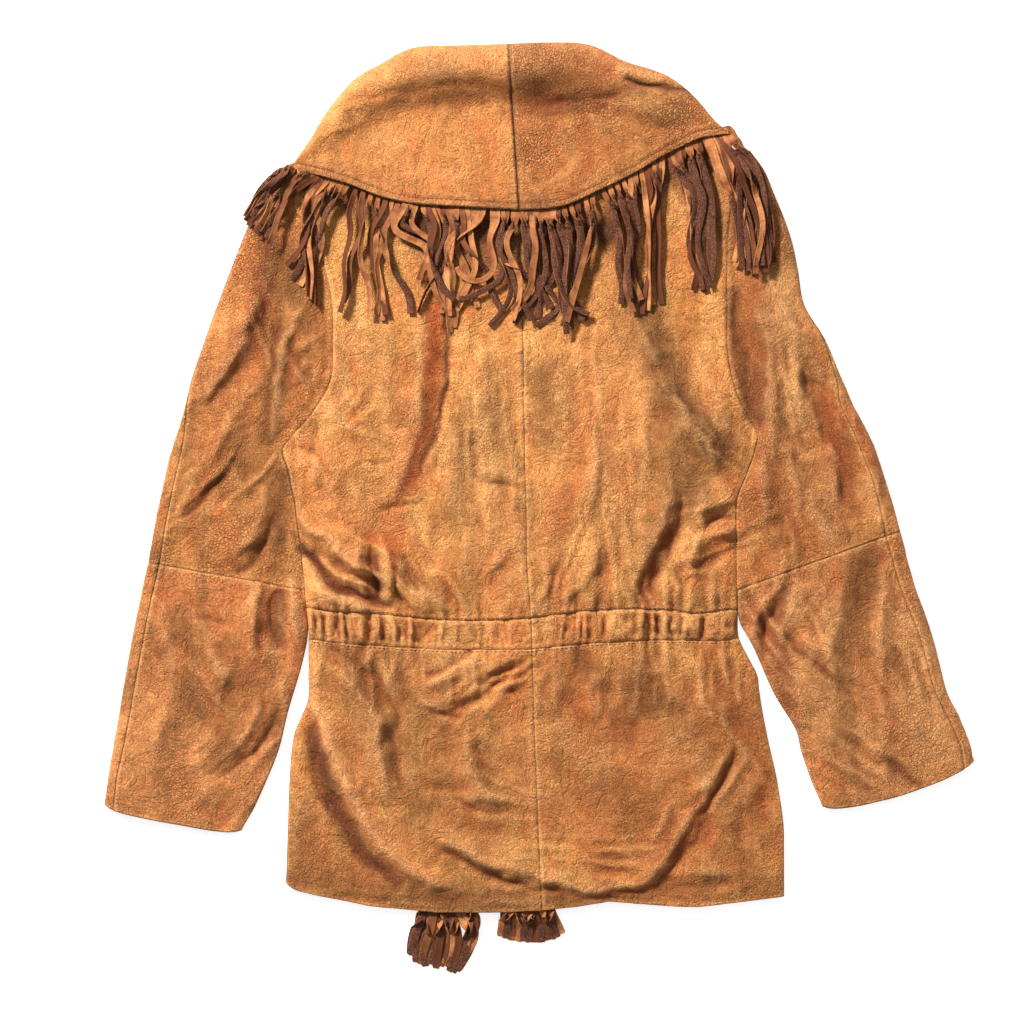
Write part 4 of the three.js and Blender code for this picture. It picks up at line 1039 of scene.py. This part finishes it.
def add_tassel(hand, seed):
    """A fan of strips bound at the lace's end: each is an arc from the binding to its tip, laid on the others."""
    rng = np.random.default_rng(seed)
    rows = TASSEL_STRIPS[hand].rows
    spare = rows[::2] + rng.normal(0, 1, rows[::2].shape) * np.array([2.0, 3.0, 2.0]) + [2.5, 5, 0]
    rows = np.concatenate([rows, spare])
    head = LACES[hand].rows[-1] + [0, -1]
    count = len(rows)
    s = np.linspace(0, 1, 26)[None, :]
    reach_out = TASSEL_SPREAD[hand]
    order = np.argsort(np.argsort(rows[:, 0] + rng.normal(0, 3, count)))
    start = head[None, :] + np.stack([(order / (count - 1) * 2 - 1) * reach_out, np.zeros(count)], axis=1)
    tips = rows[:, :2]
    reach = tips - start
    length = np.linalg.norm(reach, axis=1, keepdims=True)
    normal = np.stack([-reach[:, 1], reach[:, 0]], axis=1) / length
    bow = rows[:, 2:3] * np.sin(np.pi * s) + rng.normal(0, 0.8, (count, 1)) * np.sin(2 * np.pi * s)
    xy = mix(start[:, None, :], tips[:, None, :], s[..., None]) + bow[..., None] * normal[:, None, :]
    turns = rng.choice([0, 0, 0, 1, -1], count)[:, None] * np.pi
    twist = rng.choice([0, 0, np.pi], count)[:, None] + turns * smooth((s - 0.3) / 0.3)
    z = 1.0 + rng.uniform(0, 1, (count, 1)) * 5 * np.sin(np.pi * np.clip(s * 1.1, 0, 1))
    z = z + STRIP_WIDTH / 2 * np.abs(np.sin(twist))
    routes = np.concatenate([xy, z[..., None]], axis=2)
    name = "tassel_" + hand
    blunt = np.sqrt(np.clip((1.03 - s) / 0.05, 0.3, 1))
    widths = TASSEL_WIDTH * blunt * rng.uniform(0.92, 1.1, (count, 1))
    PIECES[name] = strips(name, routes, twist, widths, seed)


add_tassel("left", 101)
add_tassel("right", 102)


# ---- stitches ----
def stitch_row(points, normals, length=STITCH, gap=STITCH_GAP, width=STITCH_WIDTH):
    """Stitches along a line of points on the surface: lens-shaped boxes, each a stitch long with a gap after it."""
    run = run_along(points)
    starts = np.arange(0, run[-1] - length, length + gap)

    def read(values, distance):
        return np.stack([np.interp(distance, run, values[:, k]) for k in range(3)], axis=1)

    a, b = read(points, starts), read(points, starts + length)
    up = read(normals, starts + length / 2)
    along = b - a
    side = unit(np.cross(along, up))
    rings = []
    for share, swell in ((0, 0.35), (0.3, 1), (0.7, 1), (1, 0.35)):
        middle = mix(a, b, share) + up * (0.12 + 0.22 * swell)
        w, h = width / 2 * swell, 0.3 * swell
        rings += [middle + side * w, middle + up * h, middle - side * w, middle - up * h]
    points = np.stack(rings, axis=1)
    count = len(starts)
    faces = []
    for j in range(3):
        for i in range(4):
            faces.append([j * 4 + i, j * 4 + (i + 1) % 4, j * 4 + 4 + (i + 1) % 4, j * 4 + 4 + i])
    faces += [[3, 2, 1, 0], [12, 13, 14, 15]]
    faces = np.array(faces)[None] + (np.arange(count) * 16)[:, None, None]
    return points.reshape(-1, 3), faces.reshape(-1, 4)


def surface_line(x, y, lift):
    """Points and upward normals along a line on a surface given by its height."""
    z = lift(x, y)
    e = 0.6
    gx = (lift(x + e, y) - lift(x - e, y)) / (2 * e)
    gy = (lift(x, y + e) - lift(x, y - e)) / (2 * e)
    normal = unit(np.stack([-gx, -gy, np.ones_like(x)], axis=1))
    return np.stack([x, y, z], axis=1) + normal * LEATHER / 2, normal


def join(rows):
    points, faces, start = [], [], 0
    for p, f in rows:
        points.append(p)
        faces.append(f + start)
        start += len(p)
    return np.concatenate(points), np.concatenate(faces)


def body_stitches():
    """Rows along both edges of the casing."""
    rows = []
    x = np.linspace(-226, 194, 500)
    lift = layer(upper)

    def plain(x, y):
        return lift(x, y, 0.5 + 0 * x)

    for table, shift in ((CASING_TOP, CASING_STITCH_OUT), (CASING_FOOT, -CASING_STITCH_OUT)):
        rows.append(stitch_row(*surface_line(x, along_x(table)(x) + shift, plain)))
    points, faces = join(rows)
    return new_object("casing_stitches", points, faces.tolist())


def collar_stitches():
    rows = []
    for table in (LEFT_COLLAR, RIGHT_COLLAR):
        at = np.linspace(0.02, len(table.rows) - 1.2, 500)[None, :]
        c = {name: table.at(at, name) for name in table.names}
        length = np.hypot(c["ex"] - c["rx"], c["ey"] - c["ry"])
        grid = collar_grid(table, at, 2 - COLLAR_STITCH_IN / length)[0]
        normal = np.tile([0, 0, 1.0], (grid.shape[0], 1))
        rows.append(stitch_row(grid + normal * LEATHER / 2, normal))
    points, faces = join(rows)
    return new_object("collar_stitches", points, faces.tolist())


# ---- materials ----
class Nodes:
    """Short calls for building a node tree."""

    def __init__(self, tree):
        self.tree = tree

    def add(self, kind, inputs=None, **settings):
        node = self.tree.nodes.new(kind)
        for key, value in settings.items():
            setattr(node, key, value)
        for key, value in (inputs or {}).items():
            socket = node.inputs[key]
            if isinstance(value, bpy.types.NodeSocket):
                self.tree.links.new(value, socket)
            else:
                socket.default_value = value
        return node

    def math(self, operation, a, b=0.5, clamp=False):
        return self.add("ShaderNodeMath", {0: a, 1: b}, operation=operation, use_clamp=clamp).outputs[0]

    def ramp(self, value, low, high):
        limits = {"Value": value, "From Min": low, "From Max": high}
        return self.add("ShaderNodeMapRange", limits, clamp=True).outputs[0]

    def blend(self, factor, a, b, how="MIX"):
        node = self.add("ShaderNodeMix", {0: factor}, data_type="RGBA", blend_type=how)
        for index, value in ((6, a), (7, b)):
            if isinstance(value, bpy.types.NodeSocket):
                self.tree.links.new(value, node.inputs[index])
            else:
                node.inputs[index].default_value = value
        return node.outputs[2]

    def noise(self, where, scale, detail=3.0, rough=0.55, warp=0.0):
        return self.add(
            "ShaderNodeTexNoise",
            {"Vector": where, "Scale": scale, "Detail": detail, "Roughness": rough, "Distortion": warp},
        ).outputs["Fac"]

    def place(self):
        return self.add("ShaderNodeTexCoord").outputs["Object"]

    def attribute(self, name):
        """The red, green and blue of a colour attribute."""
        found = self.add("ShaderNodeAttribute", attribute_name=name).outputs["Color"]
        return self.add("ShaderNodeSeparateColor", {"Color": found}).outputs

    def times_plus(self, value, factor, added):
        return self.add("ShaderNodeMath", {0: value, 1: factor, 2: added}, operation="MULTIPLY_ADD").outputs[0]

    def vector(self, operation, a, b):
        return self.add("ShaderNodeVectorMath", {0: a, 1: b}, operation=operation).outputs[0]

    def tint(self, base, weight, amount, shade):
        """The base with this much of a shade over it, by a weight held to 1."""
        return self.blend(self.math("MULTIPLY", weight, amount, True), base, shade)

    def noise_colour(self, where, scale):
        """Three noises from -0.5 to 0.5, one for each axis."""
        made = self.add("ShaderNodeTexNoise", {"Vector": where, "Scale": scale, "Detail": 2.0}).outputs["Color"]
        return self.vector("SUBTRACT", made, (0.5, 0.5, 0.5))


def group(name, inputs, outputs):
    tree = bpy.data.node_groups.new(name, "ShaderNodeTree")
    for key, kind, default in inputs:
        tree.interface.new_socket(key, in_out="INPUT", socket_type=kind).default_value = default
    for key, kind in outputs:
        tree.interface.new_socket(key, in_out="OUTPUT", socket_type=kind)
    n = Nodes(tree)
    return tree, n, n.add("NodeGroupInput").outputs, n.add("NodeGroupOutput").inputs


def nap_group():
    """Napped leather. Height: pebbles a few millimetres across where the hide was stretched, fine creases, and
    nap. Mottle: blotches a millimetre to a centimetre across. Cracks: the lines between the pebbles."""
    tree, n, inside, out = group(
        "napped_leather",
        [("Pebble", "NodeSocketFloat", 0.5), ("Nap", "NodeSocketFloat", 0.5)],
        [
            ("Height", "NodeSocketFloat"), ("Mottle", "NodeSocketFloat"), ("Cracks", "NodeSocketFloat"),
            ("Specks", "NodeSocketFloat"),
        ],
    )
    where = n.place()
    bent = n.vector("ADD", where, n.vector("MULTIPLY", n.noise_colour(where, 60), (0.006, 0.006, 0.006)))
    cells, small = (
        n.add("ShaderNodeTexVoronoi", {"Vector": bent, "Scale": scale, "Randomness": 1.0}, feature="DISTANCE_TO_EDGE")
        for scale in (330.0, 760.0)
    )
    cracks = n.ramp(cells.outputs["Distance"], 0.0, 0.2)
    region = n.ramp(n.noise(where, 15, 3, 0.6), 0.4, 0.62)
    pebble = n.math("MULTIPLY", n.math("MULTIPLY", cracks, region), inside["Pebble"])
    share = n.math("MULTIPLY", inside["Pebble"], 0.35)
    fine = n.math("MULTIPLY", n.ramp(small.outputs["Distance"], 0.0, 0.25), share)
    nap = n.math("MULTIPLY", n.noise(where, 560, 4, 0.8), inside["Nap"])
    crease = n.math("ABSOLUTE", n.math("SUBTRACT", n.noise(bent, 42, 4, 0.6, 0.8), 0.5))
    crease = n.math("POWER", n.ramp(crease, 0.0, 0.06), 0.6)
    height = n.math("ADD", pebble, fine)
    for part, share in ((nap, 1.1), (crease, 1.0), (n.noise(bent, 120, 4, 0.6), 1.4)):
        height = n.math("ADD", height, n.math("MULTIPLY", part, share))
    specks = n.ramp(n.noise(where, 780, 2, 0.7), 0.34, 0.66)
    height = n.math("ADD", height, n.math("MULTIPLY", specks, 0.45))
    n.tree.links.new(height, out["Height"])
    n.tree.links.new(specks, out["Specks"])
    blotches = n.math("MULTIPLY", n.noise(bent, 90, 4, 0.65), 0.4)
    mottle = n.math("ADD", n.math("MULTIPLY", n.noise(where, 430, 5, 0.8), 0.65), blotches)
    n.tree.links.new(mottle, out["Mottle"])
    n.tree.links.new(n.math("MULTIPLY", n.math("SUBTRACT", 1.0, cracks), region), out["Cracks"])
    return tree


NAP = nap_group()


def colour(r, g, b):
    """sRGB 0 to 255 as linear, with alpha."""
    c = np.array([r, g, b]) / 255
    return (*np.where(c <= 0.04045, c / 12.92, ((c + 0.055) / 1.055) ** 2.4), 1.0)


def material(name):
    m = bpy.data.materials.new(name)
    m.use_nodes = True
    m.node_tree.nodes.clear()
    n = Nodes(m.node_tree)
    shader = n.add("ShaderNodeBsdfPrincipled")
    output = n.add("ShaderNodeOutputMaterial")
    m.node_tree.links.new(shader.outputs[0], output.inputs[0])
    return m, n, shader


def buckskin(name, honey, tan, brown, pebble, depth):
    """Tan hide: upright clouds of three tans; red and brown green where the strokes are, partly the hide's own and
    partly painted shade; painted shade where the strokes are dark, and dark and redder in hollows; pale on ridges,
    partly rubbed nap and partly painted highlight; and speckled by its nap."""
    m, n, shader = material(name)
    where = n.place()
    upright = n.vector("MULTIPLY", where, (1.0, 0.42, 1.0))
    nap = n.add("ShaderNodeGroup", node_tree=NAP)
    nap.inputs["Pebble"].default_value = pebble
    nap.inputs["Nap"].default_value = 0.5
    base = n.blend(n.ramp(n.noise(upright, 20, 6, 0.66, 0.8), 0.38, 0.6), tan, honey)
    browns = n.ramp(n.noise(upright, 27, 6, 0.68, 1.0), 0.49, 0.66)
    base = n.blend(n.math("MULTIPLY", browns, 0.8), base, brown)
    reds = n.ramp(n.noise(n.vector("ADD", upright, (3.1, 1.7, 0.4)), 24, 6, 0.68, 1.0), 0.49, 0.64)
    base = n.blend(n.math("MULTIPLY", reds, 0.6), base, colour(214, 112, 56))
    tones, relief = n.attribute("tones"), n.attribute("relief")
    ragged = n.ramp(n.noise(where, 55, 5, 0.7), 0.2, 0.8)
    # The strokes' red, brown green and pale: dark is painted shade, with the dark lines along the rims; pale is
    # partly rubbed nap and partly painted highlight; red and brown green are partly painted shade.
    for weight, shade, amount in (
        (tones["Red"], colour(206, 96, 44), 0.95),
        (tones["Green"], colour(124, 84, 38), 1.0),
        (relief["Blue"], colour(240, 178, 112), 0.9),
        (tones["Blue"], colour(62, 28, 12), 0.95),
    ):
        base = n.tint(base, n.math("MULTIPLY", weight, n.times_plus(ragged, 0.8, 0.5)), amount, shade)
    # Painted shade: darker and redder in hollows.
    base = n.tint(base, relief["Red"], 0.6, colour(122, 50, 20))
    # Painted highlight on raised places, partly rubbed nap.
    base = n.tint(base, relief["Green"], 0.4, colour(240, 178, 118))
    mottle = n.ramp(nap.outputs["Mottle"], 0.38, 0.62)
    base = n.blend(n.math("MULTIPLY", n.math("SUBTRACT", 1.0, mottle), 0.48), base, colour(126, 70, 34))
    rubbed = n.ramp(nap.outputs["Mottle"], 0.58, 0.72)
    base = n.blend(n.math("MULTIPLY", rubbed, 0.3), base, colour(245, 198, 144))
    base = n.tint(base, nap.outputs["Cracks"], 0.5 * pebble, colour(110, 56, 26))
    grain = n.blend(nap.outputs["Specks"], (0.5, 0.46, 0.42, 1), (1.56, 1.54, 1.5, 1))
    base = n.blend(0.8, base, grain, "MULTIPLY")
    n.tree.links.new(base, shader.inputs["Base Color"])
    rough = n.times_plus(n.ramp(nap.outputs["Mottle"], 0.2, 0.9), 0.2, 0.72)
    n.tree.links.new(rough, shader.inputs["Roughness"])
    bump = n.add("ShaderNodeBump", {"Height": nap.outputs["Height"], "Strength": 0.85, "Distance": depth})
    n.tree.links.new(bump.outputs[0], shader.inputs["Normal"])
    shader.inputs["Specular IOR Level"].default_value = 0.22
    shader.inputs["Sheen Weight"].default_value = 0.08
    shader.inputs["Sheen Roughness"].default_value = 0.6
    shader.inputs["Sheen Tint"].default_value = colour(255, 214, 170)
    return m


def fringe_leather():
    """Strips: napped tan on the smooth side, rough speckled red brown on the flesh side and the cut edges."""
    m, n, shader = material("fringe_leather")
    where = n.place()
    shown, shade, along = (n.attribute("strip")[key] for key in ("Red", "Green", "Blue"))
    speckle = n.ramp(n.noise(where, 900, 3, 0.8), 0.46, 0.68)
    rough_side = n.blend(speckle, colour(66, 32, 20), colour(148, 98, 70))
    clouds = n.ramp(n.noise(where, 70, 4, 0.6), 0.35, 0.65)
    smooth_side = n.blend(clouds, colour(142, 82, 46), colour(206, 136, 82))
    smooth_side = n.blend(n.ramp(shade, 0.45, 0.9), smooth_side, colour(98, 52, 30))
    flecks = n.math("MULTIPLY", n.ramp(n.noise(where, 520, 3, 0.7), 0.5, 0.7), 0.5)
    smooth_side = n.blend(flecks, smooth_side, colour(96, 50, 28))
    # Painted shadow: the smooth side darker near the root of each strip, in the shade of the collar's edge or the
    # tassel's binding.
    root = n.math("MULTIPLY", n.ramp(along, 0.2, 0.05), 0.35)
    smooth_side = n.blend(root, smooth_side, colour(120, 66, 36))
    base = n.blend(shown, rough_side, smooth_side)
    n.tree.links.new(base, shader.inputs["Base Color"])
    shader.inputs["Roughness"].default_value = 0.88
    bump = n.add("ShaderNodeBump", {"Height": n.noise(where, 800, 4, 0.8), "Strength": 0.8, "Distance": 0.0006})
    n.tree.links.new(bump.outputs[0], shader.inputs["Normal"])
    shader.inputs["Specular IOR Level"].default_value = 0.2
    return m


def thread():
    m, n, shader = material("thread")
    where = n.place()
    base = n.blend(n.ramp(n.noise(where, 800, 2), 0.3, 0.7), colour(96, 54, 28), colour(140, 86, 48))
    n.tree.links.new(base, shader.inputs["Base Color"])
    shader.inputs["Roughness"].default_value = 0.7
    return m


# Honey, tan and brown of each hide, how pebbled it is and how deep its relief, in metres.
HIDES = {
    name: buckskin(name, *(colour(*shade) for shade in shades), pebble, depth)
    for name, shades, pebble, depth in (
        ("body_hide", ((242, 172, 98), (214, 138, 72), (158, 112, 54)), 0.6, 0.0011),
        ("collar_hide", ((222, 148, 82), (206, 132, 70), (176, 114, 58)), 0.5, 0.0009),
        ("pebbled_hide", ((224, 150, 84), (206, 130, 70), (166, 102, 50)), 1.4, 0.0012),
        ("sleeve_hide", ((222, 150, 82), (192, 118, 62), (130, 90, 42)), 1.2, 0.0012),
        ("forearm_hide", ((218, 144, 84), (186, 116, 66), (134, 92, 48)), 0.8, 0.0012),
    )
}
FRINGE_LEATHER = fringe_leather()
THREAD = thread()


# ---- putting the pieces on the frame ----
def finish_for(name):
    if name == "collar_right":
        return HIDES["pebbled_hide"]
    if name.startswith("collar"):
        return HIDES["collar_hide"]
    if "_lower_" in name:
        return HIDES["forearm_hide"]
    if name.startswith("sleeve"):
        return HIDES["sleeve_hide"]
    if name.startswith(("fringe", "tassel")):
        return FRINGE_LEATHER
    return HIDES["body_hide"]


for name, piece in PIECES.items():
    piece.name = name + "_leather"
    piece.data.materials.append(finish_for(name))
    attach(piece, "root")
    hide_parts(name)

for piece in (body_stitches(), collar_stitches()):
    piece.data.materials.append(THREAD)
    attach(piece, "root")


def flat_area(piece):
    """The wall's own area over two, from its faces: what was cut before it was sewn and laid down."""
    areas = np.zeros(len(piece.data.polygons))
    piece.data.polygons.foreach_get("area", areas)
    return float(areas.sum() / 2)


for name, piece in PIECES.items():
    if name.startswith(("fringe", "tassel", "lace")):
        continue
    area = flat_area(piece)

for hand, route in LACE_ROUTES.items():
    route_m = route * MM
    tuple(route_m[0])
    [tuple(p) for p in route_m]


# ---- floor, light and camera ----
def add_stage():
    corners = np.array([[-1, -1], [1, -1], [1, 1], [-1, 1]]) * 9000
    floor = new_object("floor", np.column_stack([corners, np.full(4, -0.2)]), [[0, 1, 2, 3]])
    m, n, shader = material("floor_paper")
    shader.inputs["Base Color"].default_value = (0.93, 0.93, 0.93, 1)
    shader.inputs["Roughness"].default_value = 0.9
    shader.inputs["Emission Color"].default_value = (1, 1, 1, 1)
    shader.inputs["Emission Strength"].default_value = 0.7
    floor.data.materials.append(m)
    for name, place, size, power in (
        ("key", (-2.2, 2.5, 2.3), 0.6, 345),
        ("fill", (0.6, 1.2, 3.0), 2.4, 8),
    ):
        light = bpy.data.lights.new(name, "AREA")
        light.size = size
        light.energy = power
        lamp = bpy.data.objects.new(name, light)
        lamp.location = place
        direction = -np.array(place)
        lamp.rotation_euler = (
            math.atan2(math.hypot(direction[0], direction[1]), -direction[2]), 0,
            math.atan2(direction[1], direction[0]) - math.pi / 2,
        )
        bpy.context.scene.collection.objects.link(lamp)
    world = bpy.data.worlds.new("studio")
    world.use_nodes = True
    world.node_tree.nodes["Background"].inputs[0].default_value = (1, 1, 1, 1)
    world.node_tree.nodes["Background"].inputs[1].default_value = 0.3
    bpy.context.scene.world = world


def add_camera():
    """Straight above the middle of the view, which spans 1.024 m at the cloth."""
    height, span, centre = 3.0, 1.024, (-0.0265, -0.0345)
    data = bpy.data.cameras.new("camera")
    data.sensor_width = 36
    data.lens = 36 * (height - 0.008) / span
    camera = bpy.data.objects.new("camera", data)
    camera.location = (*centre, height)
    bpy.context.scene.collection.objects.link(camera)
    bpy.context.scene.camera = camera


add_stage()
add_camera()
bpy.context.scene.view_settings.view_transform = "Standard"
